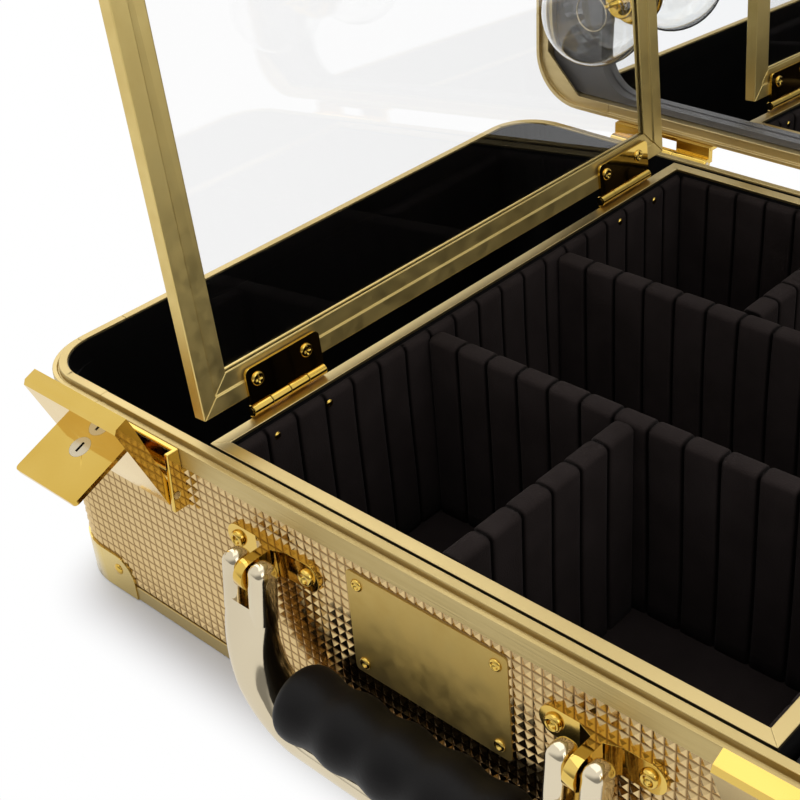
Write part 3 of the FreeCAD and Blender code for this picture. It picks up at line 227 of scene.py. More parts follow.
def darkBoard(name, colour, roughness, gloss, grain):
    # black laminate or rubber: fine grain in relief, patchy sheen
    material, tree, shader = newMaterial(name)
    setInputs(shader, {"Specular IOR Level": gloss})
    dark = tuple(boardLook["darkShare"] * part for part in colour)
    deepTo, brightFrom = boardLook["levels"]
    drift = blendOf(tree, noiseOn(tree, boardLook["drift"]), (deepTo, dark), (brightFrom, colour))
    least, most = boardLook["hazeSpan"]
    haze = spread(tree, noiseOn(tree, boardLook["haze"]), least * roughness, most * roughness)
    tree.links.new(drift, shader.inputs["Base Color"])
    tree.links.new(haze, shader.inputs["Roughness"])
    addBump(tree, noiseOn(tree, *boardLook["relief"]), grain, boardLook["depth"])
    return material


def cloth(name, colour, worn):
    # close-woven black cloth: nap in patches, thread relief, and painted shade in the sunk seams
    material, tree, shader = newMaterial(name)
    setInputs(shader, clothLook["inputs"])
    deepTo, brightFrom = clothLook["levels"]
    nap = blendOf(tree, noiseOn(tree, clothLook["nap"]), (deepTo, colour), (brightFrom, worn))
    seamShade = fullnessOf(tree, clothLook["seam"], clothLook["full"])
    tree.links.new(multiplied(tree, nap, seamShade), shader.inputs["Base Color"])
    addBump(tree, noiseOn(tree, *clothLook["relief"]), clothLook["strength"], clothLook["depth"])
    return material


def clearSheet(name, tint, index):  # clear glass or acrylic with a trace of haze
    material, tree, shader = newMaterial(name)
    setInputs(shader, {"Base Color": (*tint, 1), "Transmission Weight": 1.0, "IOR": index})
    haze = spread(tree, noiseOn(tree, clearLook["haze"]), *clearLook["hazeSpan"])
    tree.links.new(haze, shader.inputs["Roughness"])
    return material


def silvered(name):  # mirror glass with a trace of haze
    material, tree, shader = newMaterial(name)
    setInputs(shader, {"Base Color": mirrorLook["colour"], "Metallic": 1.0})
    haze = spread(tree, noiseOn(tree, mirrorLook["haze"]), *mirrorLook["hazeSpan"])
    tree.links.new(haze, shader.inputs["Roughness"])
    return material


# one finish for each slot; metals give their bright and deep colour, roughness and relief
finishes = {
    "rim_gold": drawnMetal("champagneRim", (0.57, 0.445, 0.205), (0.5, 0.38, 0.165), 0.32, 0.08),
    "hardware_gold": plated("polishedGold", (0.72, 0.5, 0.12), (0.64, 0.415, 0.075), 0.07, 0.05),
    "stud_panel": studded("studGold", (0.67, 0.49, 0.24), (0.64, 0.46, 0.215), 0.15),
    "black_board": darkBoard("blackBoard", (0.004, 0.0036, 0.0036), 0.34, 0.4, 0.15),
    "black_fabric": cloth("blackCloth", (0.0115, 0.0085, 0.0076), (0.0188, 0.0141, 0.0128)),
    "clear_pane": clearSheet("clearAcrylic", (0.975, 0.975, 0.975), 1.49),
    "mirror_glass": silvered("silverMirror"),
    "bulb_glass": clearSheet("bulbGlass", (0.97, 0.975, 0.97), 1.46),
    "handle_metal": plated("champagneSilver", (0.71, 0.62, 0.45), (0.62, 0.53, 0.37), 0.13, 0.04),
    "grip_black": darkBoard("gripRubber", (0.0056, 0.0047, 0.0043), 0.5, 0.15, 0.12),
    "pin_steel": plated("brightPin", (0.66, 0.58, 0.42), (0.55, 0.47, 0.33), 0.16, 0.03),
}
# nodes whose finish differs from their slot's
ownFinishes = (
    (plated("satinPlate", (0.59, 0.42, 0.13), (0.53, 0.37, 0.105), 0.5, 0.03), ("front_plate",)),
    # the lid's black board is given grey as its colour: painted sheen
    (darkBoard("lidBoardPaintedSheen", (0.13, 0.122, 0.114), 0.4, 0.6, 0.25), ("mirror_board",)),
    (drawnMetal("ribbedRim", (0.58, 0.455, 0.205), (0.51, 0.39, 0.165), 0.5, 0.3),
     ("base_rims_long", "base_rims_short", "base_rim_corners")),
    # the lid rims are the rim gold made brighter and paler: a painted lit copy of it
    (drawnMetal("lidRimLit", (0.68, 0.55, 0.29), (0.61, 0.48, 0.24), 0.48, 0.08),
     ("lid_rims", "lid_rim_corners")),
    (drawnMetal("bottomTrim", (0.59, 0.46, 0.2), (0.52, 0.395, 0.16), 0.36, 0.08),
     ("base_bottom_trims",)),
    (plated("railGold", (0.74, 0.575, 0.22), (0.65, 0.49, 0.175), 0.46, 0.02),
     ("cover_rail_hinge_side", "cover_rail_free_side", "cover_rails_cross")),
    (plated("capGold", (0.72, 0.56, 0.2), (0.64, 0.48, 0.16), 0.15, 0.03),
     ("base_corner_caps", "lid_corner_caps")),
)
nodeFinishes = {name: finish for finish, names in ownFinishes for name in names}
print("finishes", len(finishes) + len(nodeFinishes))


def buildPiece(name, points, faces, body, slotName, smooth=True, stands=(), fullness=None):
    # puts an array of points (millimetres) and its faces into one mesh at the origin
    mesh = bpy.data.meshes.new(name)
    points = np.asarray(points, float).reshape(-1, 3) * mm
    faces = np.asarray(faces, int)
    sides = faces.shape[1]
    mesh.vertices.add(len(points))
    mesh.vertices.foreach_set("co", points.ravel())
    mesh.loops.add(faces.size)
    mesh.loops.foreach_set("vertex_index", faces.ravel())
    mesh.polygons.add(len(faces))
    mesh.polygons.foreach_set("loop_start", np.arange(0, faces.size, sides))
    mesh.polygons.foreach_set("use_smooth", np.full(len(faces), smooth))
    if fullness is not None:
        layer = mesh.attributes.new("fullness", "FLOAT", "POINT")
        layer.data.foreach_set("value", np.ravel(fullness))
    mesh.update(calc_edges=True)
    mesh.validate()
    mesh.materials.append(finishes[slotName])
    piece = bpy.data.objects.new(name, mesh)
    bpy.context.scene.collection.objects.link(piece)
    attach(piece, body)
    if stands:
        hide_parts(*stands)
    return piece


def gridFaces(rows, columns, loopRows=False, loopColumns=False):
    # four-sided faces of a grid of points numbered row by row
    i, j = np.meshgrid(np.arange(rows if loopRows else rows - 1),
                       np.arange(columns if loopColumns else columns - 1), indexing="ij")
    nextI, nextJ = (i + 1) % rows, (j + 1) % columns
    corners = (i * columns + j, nextI * columns + j, nextI * columns + nextJ, i * columns + nextJ)
    return np.stack(corners, -1).reshape(-1, 4)


def gather(parts):  # several arrays of points and faces as one
    starts = np.cumsum([0] + [len(points) for points, _ in parts[:-1]])
    return (np.concatenate([points for points, _ in parts]),
            np.concatenate([faces + start for (_, faces), start in zip(parts, starts)]))


crossEase = {"side": 0.5, "end": 0.3}  # the sloped share of a cross's half width and arm


def spun(profile, sides, spot, out, cross=None):
    # carries (radius, height) pairs, from the tip down, once round an axis; a radius of 0 closes in
    # a point, and a cross of (arm, half width, depth) is sunk into the tip
    profile = np.asarray(profile, float)
    out = np.asarray(out, float)
    aside = np.cross(out, np.roll(out, 1))
    other = np.cross(out, aside)
    angle = np.arange(sides) * 2 * math.pi / sides
    radius, height = profile[:, :1], profile[:, 1:] + 0 * angle
    x, y = radius * np.cos(angle), radius * np.sin(angle)
    if cross:
        arm, half, depth = cross
        nearest = np.minimum(abs(x), abs(y))
        inArm = np.clip((half - nearest) / (crossEase["side"] * half), 0, 1)
        height = height - depth * inArm * np.clip((arm - radius) / (crossEase["end"] * arm), 0, 1)
    points = (np.asarray(spot) + height[..., None] * out
              + x[..., None] * aside + y[..., None] * other)
    index = np.arange(x.size).reshape(x.shape)
    index[profile[:, 0] == 0] = index[profile[:, 0] == 0][:, :1]
    quads = gridFaces(len(profile), sides, loopColumns=True)
    faces = index.ravel()[np.concatenate([quads[:, [0, 1, 2]], quads[:, [0, 2, 3]]])]
    whole = np.all(faces != np.roll(faces, -1, axis=1), axis=1)
    used, faces = np.unique(faces[whole], return_inverse=True)
    return points.reshape(-1, 3)[used], faces.reshape(-1, 3)


def finishMesh(piece, operation):  # closes a mesh's open rims and turns every face outward
    work = bmesh.new()
    work.from_mesh(piece.data)
    operation(work, edges=[edge for edge in work.edges if edge.is_boundary])
    bmesh.ops.recalc_face_normals(work, faces=work.faces)
    work.to_mesh(piece.data)
    work.free()


# CAD nodes that are shown as they are, with their edges eased by this many millimetres
edgeEase = {
    "base_rims_long": 0.35, "base_rims_short": 0.35, "base_rim_corners": 0.35,
    "base_bottom_trims": 0.3, "base_corner_caps": 0.5, "tray_rim_sides": 0.3, "tray_rim_ends": 0.3,
    "lid_rims": 0.4, "lid_rim_corners": 0.4, "lid_top_trims": 0.3, "lid_corner_caps": 0.5,
    "cover_rail_hinge_side": 0.5, "cover_rail_free_side": 0.5, "cover_rails_cross": 0.5,
    "latch_lever_left": 0.6, "latch_lever_right": 0.6, "latch_bases": 0.5, "latch_strikes": 0.3,
    "handle_brackets": 0.8, "front_plate": 0.3, "cover_hinge_cover_leaves": 0.25,
    "cover_hinge_tray_leaves": 0.25, "lid_hinge_base_leaves": 0.3, "lid_hinge_lid_leaves": 0.3,
    "mirror_board": 0.6,
}
easing = {"joinWithin": 0.00001, "segments": 3, "sharperThan": 40}


def dressNode(name, piece):  # gives a CAD node its finish and eases its sharp edges
    piece.data.materials.clear()
    piece.data.materials.append(nodeFinishes.get(name) or finishes[slotOf[name]])
    if name in edgeEase:
        weld = piece.modifiers.new("join", "WELD")
        weld.merge_threshold = easing["joinWithin"]
        bevel = piece.modifiers.new("ease", "BEVEL")
        bevel.width = edgeEase[name] * mm
        bevel.segments = easing["segments"]
        bevel.limit_method = "ANGLE"
        bevel.angle_limit = math.radians(easing["sharperThan"])
        bevel.harden_normals = True


for name, piece in frame["nodes"].items():
    dressNode(name, piece)
print("nodes dressed", len(frame["nodes"]))

# Stud sheet: a grid of four-sided pyramids on the panels, bent half way round each upright corner
studs = {"pitch": 4.1, "height": 0.95, "bend": 26.2, "lowShare": 0.1}
lidForm = {"rimHead": 114.3, "trimFoot": 153.0, "top": 160.0, "topHalf": (207.7, 146.7), "underCap": 3}


def studsIn(u, v, stepU, stepV, rectangles, partly):
    # which studs lie in any of these rectangles, as a whole or partly
    spareU, spareV = (stepU, stepV) if partly else (0, 0)
    hit = np.zeros(len(u), bool)
    for lowU, lowV, highU, highV in rectangles:
        hit |= ((u + spareU >= lowU) & (u + stepU - spareU <= highU)
                & (v + spareV >= lowV) & (v + stepV - spareV <= highV))
    return hit


def studSheet(name, corner, along, up, out, length, height, body, wrap=True, covered=(), low=(),
              placed=None):
    # past the panel's ends the distance along turns into an angle on the corner's arc; covered studs
    # are left out, and low ones are nearly flat
    bend = studs["bend"]
    spare = bend * math.pi / 4 if wrap else 0.0
    columns = round((length + 2 * spare) / studs["pitch"])
    rows = max(1, round(height / studs["pitch"]))
    stepU, stepV = (length + 2 * spare) / columns, height / rows
    u, v = np.meshgrid(np.arange(columns) * stepU - spare, np.arange(rows) * stepV, indexing="ij")
    u, v = u.ravel(), v.ravel()
    free = ~studsIn(u, v, stepU, stepV, covered, False)
    flat = studsIn(u, v, stepU, stepV, low, True)
    tall = np.where(flat, studs["lowShare"], 1.0)[free][:, None]
    # each stud is four corners and a tip
    u = u[free][:, None] + np.array([0, 1, 1, 0, 0.5]) * stepU
    v = v[free][:, None] + np.array([0, 0, 1, 1, 0.5]) * stepV
    tip = np.array([0, 0, 0, 0, 1.0])
    lift = tip * studs["height"] * tall
    inPanel = np.clip(u, 0, length)
    angle = (u - inPanel) / bend
    alongWay = inPanel + (bend + lift) * np.sin(angle)
    outWay = (bend + lift) * np.cos(angle) - bend
    along, up, out = np.array(along, float), np.array(up, float), np.array(out, float)
    points = (np.array(corner) + alongWay[..., None] * along
              + v[..., None] * up + outWay[..., None] * out)
    sides = np.array([[0, 1, 4], [1, 2, 4], [2, 3, 4], [3, 0, 4]])
    faces = (np.arange(len(u)) * len(tip))[:, None, None] + sides
    if np.dot(np.cross(along, up), out) < 0:
        faces = faces[..., ::-1]
    points = points.reshape(-1, 3)
    if placed:
        points = atRest(points, placed)
    # each tip has fullness 1 and each corner 0; the stud finish paints shade in the valleys by it
    return buildPiece(name, points, faces.reshape(-1, 3), body, "stud_panel", smooth=False,
                      fullness=np.tile(tip, len(u)))


trimTop = nodeBox("base_bottom_trims")[1][2]
rimFoot = nodeBox("base_rims_long")[0][2]
longLow, longHigh = nodeBox("base_front_panel")
endLow, endHigh = nodeBox("base_end_panels")
longRun, endRun = longHigh[0] - longLow[0], endHigh[1] - endLow[1]
plateLow, plateHigh = nodeBox("front_plate")
# what lies on the panels: left, foot, right and head of the right-hand one of each pair
hardware = {
    "bracket": (49.5, 69, 97.5, 81), "latch": (122, 75, 183, 92.6), "baseHinge": (105, 66, 165, 95),
    "strike": (134.5, 114, 170.5, 126), "lidHinge": (105, 90, 165, 124),
}


def pairOf(name):  # a piece of hardware and its mirror image
    left, foot, right, head = hardware[name]
    return [(left, foot, right, head), (-right, foot, -left, head)]


def onPanel(rectangles, left, foot):  # rectangles of the case as distances along and up a panel
    return [(a - left, b - foot, c - left, d - foot) for a, b, c, d in rectangles]


plateCover = [(plateLow[0], plateLow[2], plateHigh[0], plateHigh[2])]
frontCover = plateCover + pairOf("bracket") + pairOf("latch")
lidFoot, lidStuds = lidForm["rimHead"], lidForm["trimFoot"] - lidForm["rimHead"]
baseStuds = rimFoot - trimTop
for side, place, baseCover, lidCover in ((-1, "front", frontCover, pairOf("strike")),
                                         (1, "back", pairOf("baseHinge"), pairOf("lidHinge"))):
    face = side * abs(longLow[1])
    studSheet(place + "Studs", (longLow[0], face, trimTop), (1, 0, 0), (0, 0, 1), (0, side, 0),
              longRun, baseStuds, "base", covered=onPanel(baseCover, longLow[0], trimTop))
    studSheet(place + "LidStuds", (longLow[0], face, lidFoot), (1, 0, 0), (0, 0, 1), (0, side, 0),
              longRun, lidStuds, "lid", covered=onPanel(lidCover, longLow[0], lidFoot), placed="lid")
for side, place in ((-1, "left"), (1, "right")):
    face = side * endHigh[0]
    studSheet(place + "Studs", (face, endLow[1], trimTop), (0, 1, 0), (0, 0, 1), (side, 0, 0),
              endRun, baseStuds, "base")
    studSheet(place + "LidStuds", (face, endLow[1], lidFoot), (0, 1, 0), (0, 0, 1), (side, 0, 0),
              endRun, lidStuds, "lid", placed="lid")
topX, topY = lidForm["topHalf"]  # the lid's top inside its trims
capSide = lidForm["underCap"]
underCaps = [(a, b, a + capSide, b + capSide)
             for a in (0, 2 * topX - capSide) for b in (0, 2 * topY - capSide)]
studSheet("topLidStuds", (-topX, -topY, lidForm["top"]), (1, 0, 0), (0, 1, 0), (0, 0, 1),
          2 * topX, 2 * topY, "lid", wrap=False, low=underCaps, placed="lid")
print("studs")

# Pleated padding: flat pleats with narrow sunk seams, rounded over the top edge
pleat = {"pitch": 15.5, "seam": 14, "perPleat": 24, "wander": 0.6}
divider = {
    "sink": 1.7, "dome": 0.62, "flat": 0.62, "swell": 0.75, "topSink": 0.7, "wave": 23.0,
    "sideRows": 12, "domeRows": 15,
}
lining = {"sink": 1.6, "wave": 19.0, "faceRows": 14, "roundRows": 7}


def pleatShape(length):
    # distance along the pad, and a 0 to 1 fullness that falls sharply to the seams
    count = max(1, round(length / pleat["pitch"]))
    t = np.linspace(0, count, count * pleat["perPleat"] + 1)
    off = np.abs(2 * (t % 1.0) - 1)
    return t / count * length, 1 - off ** pleat["seam"]


def swayOf(z, wave, seed, u, length):  # seams wander along the pad as a slow wave of the height
    return np.sin(z / wave + seed) * pleat["wander"] * np.sin(math.pi * u / length)[:, None]


def dividerPad(name, start, along, length, low, high, thick, node, seed):
    # a section of up one side, over a flattened round and down the other, carried along the pad
    u, full = pleatShape(length)
    half = thick / 2 - divider["sink"] * (1 - full)
    dome = divider["dome"] * half
    angle = np.linspace(math.pi, 0, divider["domeRows"] + 2)[1:-1]
    rise = np.linspace(0, 1, divider["sideRows"])
    ones, zeros = np.ones(len(rise)), np.zeros(len(rise))
    bulge = np.sign(np.cos(angle)) * np.abs(np.cos(angle)) ** divider["flat"]
    across = np.concatenate([-ones, bulge, ones])
    upShare = np.concatenate([rise, np.ones(len(angle)), rise[::-1]])
    roundUp = np.concatenate([zeros, np.sin(angle) ** divider["swell"], zeros])
    shoulder = high - divider["topSink"] * (1 - full) - dome
    z = low + upShare * (shoulder[:, None] - low) + roundUp * dome[:, None]
    sway = swayOf(z, divider["wave"], seed, u, length)
    along = np.array(along, float)
    sideways = np.array([-along[1], along[0], 0])
    points = (np.array(start) + (u[:, None] + sway)[..., None] * along
              + (across * half[:, None])[..., None] * sideways)
    points[..., 2] = z
    faces = gridFaces(len(u), len(across))
    piece = buildPiece(name, points, faces, "base", "black_fabric", stands=(node,),
                       fullness=full[:, None] + 0 * z)
    finishMesh(piece, bmesh.ops.holes_fill)


# each divider's run, and a number that sets its seams apart from the others'
dividers = (
    ("divider_front_long", "x", 0.3), ("divider_back_long", "x", 1.7),
    ("divider_front_short", "y", 2.9), ("divider_back_short", "y", 4.1),
)
for node, run, seed in dividers:
    low, high = nodeBox(node)
    k = 0 if run == "x" else 1
    start = (low + high) / 2 * (1, 1, 0)
    start[k] = low[k]
    words = node.split("_")
    dividerPad(words[1] + words[2].title() + "Divider", start, np.eye(3)[k], high[k] - low[k],
               low[2], high[2], high[1 - k] - low[1 - k], node, seed)


def liningPad(name, start, along, inward, length, low, high, thick, node, seed):
    # one-sided pleats: up the face, round over the top edge and down the back against the wall
    u, full = pleatShape(length)
    depth = thick - lining["sink"] * (1 - full)
    angle = np.linspace(0, math.pi / 2, lining["roundRows"] + 1)[1:]
    rise = np.linspace(0, 1, lining["faceRows"])
    deepShare = np.concatenate([np.ones(len(rise)), np.cos(angle), [0.0]])
    upShare = np.concatenate([rise, np.ones(len(angle)), [0.0]])
    roundUp = np.concatenate([np.zeros(len(rise)), np.sin(angle), [0.0]])
    z = low + upShare * (high - depth[:, None] - low) + roundUp * depth[:, None]
    sway = swayOf(z, lining["wave"], seed, u, length)
    along, inward = np.array(along, float), np.array(inward, float)
    points = (np.array(start) + (u[:, None] + sway)[..., None] * along
              + (deepShare * depth[:, None])[..., None] * inward)
    points[..., 2] = z
    faces = gridFaces(len(u), len(deepShare), loopColumns=True)
    piece = buildPiece(name, points, faces, "base", "black_fabric", stands=(node,),
                       fullness=full[:, None] + 0 * z)
    finishMesh(piece, bmesh.ops.holes_fill)


# each lining's way into the tray, its run and the number for its seams
linings = {
    "tray_lining_left": ((1, 0, 0), (0, 1, 0), 0.4),
    "tray_lining_right": ((-1, 0, 0), (0, 1, 0), 1.1),
    "tray_lining_front": ((0, 1, 0), (1, 0, 0), 2.3),
    "tray_lining_back": ((0, -1, 0), (1, 0, 0), 3.2),
}
for node, (inward, along, seed) in linings.items():
    low, high = nodeBox(node)
    inward, along = np.array(inward), np.array(along)
    start = np.where(inward < 0, high, low) * (1, 1, 0)
    k = int(np.argmax(along))
    liningPad(node.split("_")[2] + "Lining", start, along, inward, high[k] - low[k], low[2], high[2],
              high[1 - k] - low[1 - k], node, seed)

cushion = {"steps": 41, "power": 14, "edgeShare": 0.35}


def floorPad():
    # a thin cushion: flat in the middle, falling at the edges by a steep power of the distance
    low, high = nodeBox("tray_floor_pad")
    steps, edge = cushion["steps"], cushion["edgeShare"]
    s = np.linspace(-1, 1, steps)
    a, b = np.meshgrid(s, s, indexing="ij")
    full = (1 - abs(a) ** cushion["power"]) * (1 - abs(b) ** cushion["power"])
    x = low[0] + (a + 1) / 2 * (high[0] - low[0])
    y = low[1] + (b + 1) / 2 * (high[1] - low[1])
    top = np.stack([x, y, low[2] + (high[2] - low[2]) * (edge + (1 - edge) * full)], -1)
    under = top * (1, 1, 0) + (0, 0, low[2])
    faces = gridFaces(steps, steps)
    sheets = [(top.reshape(-1, 3), faces), (under.reshape(-1, 3), faces[:, ::-1])]
    points, faces = gather(sheets)
    piece = buildPiece("floorPad", points, faces, "base", "black_fabric", stands=("tray_floor_pad",),
                       fullness=np.ones(len(points)))
    finishMesh(piece, bmesh.ops.bridge_loops)


floorPad()

# Edge lining: the wells' black lining turned up over the rim's inner face, all round the case
edgeLining = {
    "halfX": 220.0, "halfY": 159.0, "corner": 27.0, "rimWidth": 6.5, "sunk": 0.15, "proud": 0.25,
    "foot": 92.4, "head": 102.4, "cornerSteps": 13,
}


def buildEdgeLining():
    # a small section carried round a rounded rectangle: each corner is a quarter of a circle
    corner, steps = edgeLining["corner"], edgeLining["cornerSteps"]
    turn = np.linspace(0, math.pi / 2, steps)
    angle = np.concatenate([turn + quarter * math.pi / 2 for quarter in range(4)])
    signX, signY = np.repeat([1, -1, -1, 1], steps), np.repeat([1, 1, -1, -1], steps)
    outer, inner = -edgeLining["sunk"], edgeLining["proud"]
    foot, head = edgeLining["foot"], edgeLining["head"]
    section = [(outer, foot), (inner, foot), (inner, head), (outer, head)]
    inset, level = np.array(section).T[..., None]
    radius = corner - edgeLining["rimWidth"] - inset
    x = signX * (edgeLining["halfX"] - corner) + radius * np.cos(angle)
    y = signY * (edgeLining["halfY"] - corner) + radius * np.sin(angle)
    points = np.stack([x, y, level + 0 * x], -1)
    faces = gridFaces(len(section), len(angle), loopRows=True, loopColumns=True)
    piece = buildPiece("edgeLining", points, faces, "base", "black_board", smooth=False)
    finishMesh(piece, bmesh.ops.holes_fill)


buildEdgeLining()
print("padding")

# Handle: a bow of flattened round section that widens towards the grip, with four domed fork ends
bow = {
    "middle": -171.5, "armOut": 84.5, "armIn": 62.5, "armTop": 64.0, "foot": 13.0, "strapTop": 22.0,
    "outerRound": 42.0, "innerRound": 28.0, "square": 3.2, "sides": 32, "runSteps": 8, "bendSteps": 20,
    "levels": (13, 31, 62, 84), "depths": (9.5, 9.5, 5, 5), "sharperThan": 50,
}
fork = {
    "middles": (66.75, 80.25), "half": 4.25, "depth": 5, "foot": 58.0, "domeFoot": 77.5, "top": 82.5,
    "steps": 6, "domeSteps": 12, "domeEnd": 0.97,
}
grip = {
    "length": 100.0, "radius": 14.0, "wave": 0.8, "pitch": 22.0, "closeOver": 4.0, "closeIn": 3.0,
    "level": 32.0, "steps": 141, "sides": 56,
}


def flatRound(count, square):  # a rounded square: each coordinate is a small power of the circle's
    angle = np.arange(count) * 2 * math.pi / count
    c, s = np.cos(angle), np.sin(angle)
    return np.sign(c) * abs(c) ** (2 / square), np.sign(s) * abs(s) ** (2 / square)


def bowEdge(arm, level, bend):
    # down the right arm, round the bend and in to the middle, then the mirror image of that
    steps = bow["runSteps"]
    angle = np.linspace(0, math.pi / 2, bow["bendSteps"])
    down = np.stack([np.full(steps, arm), np.linspace(bow["armTop"], level + bend, steps)], -1)
    turn = np.stack([arm - bend + bend * np.cos(angle), level + bend - bend * np.sin(angle)], -1)
    flat = np.stack([np.linspace(arm - bend, 0, steps), np.full(steps, level)], -1)
    half = np.concatenate([down[:-1], turn, flat[1:]])
    return np.concatenate([half, half[-2::-1] * (-1, 1)])


def sectionsAlong(x, halfX, z, halfZ, depth):
    # a flattened round at each station, spread between the outline's two edges and front to back
    across, through = flatRound(bow["sides"], bow["square"])
    points = np.stack([x[:, None] + halfX[:, None] * across,
                       bow["middle"] + depth[:, None] * through,
                       z[:, None] + halfZ[:, None] * across], -1)
    return points.reshape(-1, 3), gridFaces(len(x), len(across), loopColumns=True)


def buildHandle():
    # the bow lies midway between an outer and an inner outline; each fork end closes as a quarter round
    outer = bowEdge(bow["armOut"], bow["foot"], bow["outerRound"])
    inner = bowEdge(bow["armIn"], bow["strapTop"], bow["innerRound"])
    middle, half = (outer + inner) / 2, (outer - inner) / 2
    depth = np.interp(middle[:, 1], bow["levels"], bow["depths"])
    parts = [sectionsAlong(middle[:, 0], half[:, 0], middle[:, 1], half[:, 1], depth)]
    lift = np.linspace(0, fork["domeEnd"], fork["domeSteps"])[1:]
    z = np.concatenate([np.linspace(fork["foot"], fork["domeFoot"], fork["steps"]),
                        fork["domeFoot"] + (fork["top"] - fork["domeFoot"]) * lift])
    size = np.concatenate([np.ones(fork["steps"]), np.sqrt(1 - lift ** 2)])
    for x in fork["middles"]:
        for side in (-1, 1):
            parts.append(sectionsAlong(np.full(len(z), side * x), fork["half"] * size, z, 0 * z,
                                       fork["depth"] * size))
    points, faces = gather(parts)
    piece = buildPiece("handleBow", atRest(points, "handle"), faces, "handle", "handle_metal",
                       stands=("handle_frame",))
    finishMesh(piece, bmesh.ops.holes_fill)
    piece.data.set_sharp_from_angle(angle=math.radians(bow["sharperThan"]))


def buildGrip():
    # radius swells as a cosine of the distance along, and each end closes in as a quarter round
    x = np.linspace(grip["length"] / 2, -grip["length"] / 2, grip["steps"])
    near = np.clip((grip["length"] / 2 - abs(x)) / grip["closeOver"], 0, 1)
    radius = (grip["radius"] + grip["wave"] * np.cos(2 * math.pi * x / grip["pitch"])
              - grip["closeIn"] * (1 - np.sqrt(1 - (1 - near) ** 2)))
    profile = np.concatenate([[(0, x[0])], np.stack([radius, x], -1), [(0, x[-1])]])
    points, faces = spun(profile, grip["sides"], (0, bow["middle"], grip["level"]), (1, 0, 0))
    piece = buildPiece("handleGrip", atRest(points, "handle"), faces, "handle", "grip_black",
                       stands=("handle_grip",))
    piece.data.set_sharp_from_angle(angle=math.radians(bow["sharperThan"]))


buildHandle()
buildGrip()
print("handle")

# Bulbs: a thin glass globe on a neck, a threaded shell and a wire inside, a rounded socket below;
# the outlines are (radius, height) pairs from the tip down
bulb = {
    "radius": 27.0, "stand": 34.0, "glass": 0.7, "globeTurn": 2.62, "globeSteps": 40,
    "throat": ((11.7, 9.1), (10.6, 7.7), (10.1, 6.4), (10.0, 5.0)),
    "mirrorFace": 113.5, "columns": (-164.2, 164.2), "rows": (-95.0, 0.0, 95.0),
    "shell": 8.4, "shellTop": 15.0, "shellFoot": 4.5, "thread": 0.6, "threadPitch": 2.4,
    "threadSteps": 60, "wireRing": 9, "wireLevel": 38, "wireRadius": 0.3, "wireSteps": 9,
    "stem": ((0, 27), (0.8, 26.8), (1.2, 25), (1.6, 19), (4.5, 15.4), (8, 15.0)),
    "bell": ((0, 5.0), (13.4, 5.0), (14.3, 4.7), (14.85, 4.1), (15, 3.3), (15, 0), (0, 0)),
    "globeSides": 48, "socketSides": 40, "threadSides": 32, "wireSides": 40,
}


def globeOutline():
    # outside: an arc and a throat; inside: the arc drawn in towards its centre, the throat straight in
    steps, centre = bulb["globeSteps"], (0, bulb["stand"])
    angle = np.linspace(0, bulb["globeTurn"], steps)
    arc = np.stack([bulb["radius"] * np.sin(angle), bulb["stand"] + bulb["radius"] * np.cos(angle)], -1)
    arc[0, 0] = 0
    throat = np.array(bulb["throat"])
    innerArc = (arc - centre) * (1 - bulb["glass"] / bulb["radius"]) + centre
    inside = np.concatenate([innerArc, throat - (bulb["glass"], 0)])
    return np.concatenate([arc, throat, inside[::-1]])


def buildBulbs():
    # a thread is a cosine of the height, and a wire is a small circle carried round the axis
    level = np.linspace(bulb["shellTop"], bulb["shellFoot"], bulb["threadSteps"])
    ridge = bulb["thread"] * np.cos(2 * math.pi * level / bulb["threadPitch"])
    screw = np.concatenate([bulb["stem"], np.stack([bulb["shell"] + ridge, level], -1)])
    turn = np.linspace(0, 2 * math.pi, bulb["wireSteps"])
    wire = np.stack([bulb["wireRing"] + bulb["wireRadius"] * np.cos(turn),
                     bulb["wireLevel"] - bulb["wireRadius"] * np.sin(turn)], -1)[::-1]
    spots = [(x, y, bulb["mirrorFace"]) for x in bulb["columns"] for y in bulb["rows"]]
    for name, outline, sides, slotName, stands in (
        ("bulbGlobes", globeOutline(), bulb["globeSides"], "bulb_glass", ("bulbs",)),
        ("bulbSockets", bulb["bell"], bulb["socketSides"], "hardware_gold", ("bulb_sockets",)),
        ("bulbThreads", screw, bulb["threadSides"], "hardware_gold", ()),
        ("bulbWires", wire, bulb["wireSides"], "pin_steel", ()),
    ):
        points, faces = gather([spun(outline, sides, spot, (0, 0, -1)) for spot in spots])
        buildPiece(name, atRest(points, "lid"), faces, "lid", slotName, stands=stands)


buildBulbs()
print("bulbs")

# Fasteners: heads are given as radius and height, crosses as arm, half width and depth
fasteners = {
    "sides": 32, "plateInset": 5.0, "plateRivet": (2.5, 1.0), "bracketRivet": (3.5, 1.8),
    "bracketMiddle": 73.5, "bracketEye": 18.0, "bracketLevel": 75.0, "bracketFace": -160.7,
    "capRivet": (2.6, 1.1), "capReach": 183.0, "capEnd": 122.0, "capLevel": 12.0, "capFaceX": 220.6,
    "capFaceY": 159.6, "leafScrew": (2.9, 0.9), "leafOut": 12.0, "leafSunk": 0.6,
    "leafShares": (0.14, 0.8), "screwEnd": (1.7, 0.9), "screwEndLevel": 95.5, "screwEndSunk": 0.3,
    "screwEndShares": (0.1, 0.83), "cross": (1.9, 0.45, 0.6), "lidScrew": (2.9, 1.0),
    "lidScrewFace": 161.0, "lidScrewLevels": (76.0, 84.0),
}
coverHinges = ((-129.5, 38.0), (90.0, 38.0))  # start along Y and length
lidHinges = {"middles": (-135, 135), "part": 20}  # each barrel has three parts
knuckle = {"cover": 2.34, "lid": 3.04, "gap": 0.1, "chamfer": 0.25, "sides": 28, "sharperThan": 30}


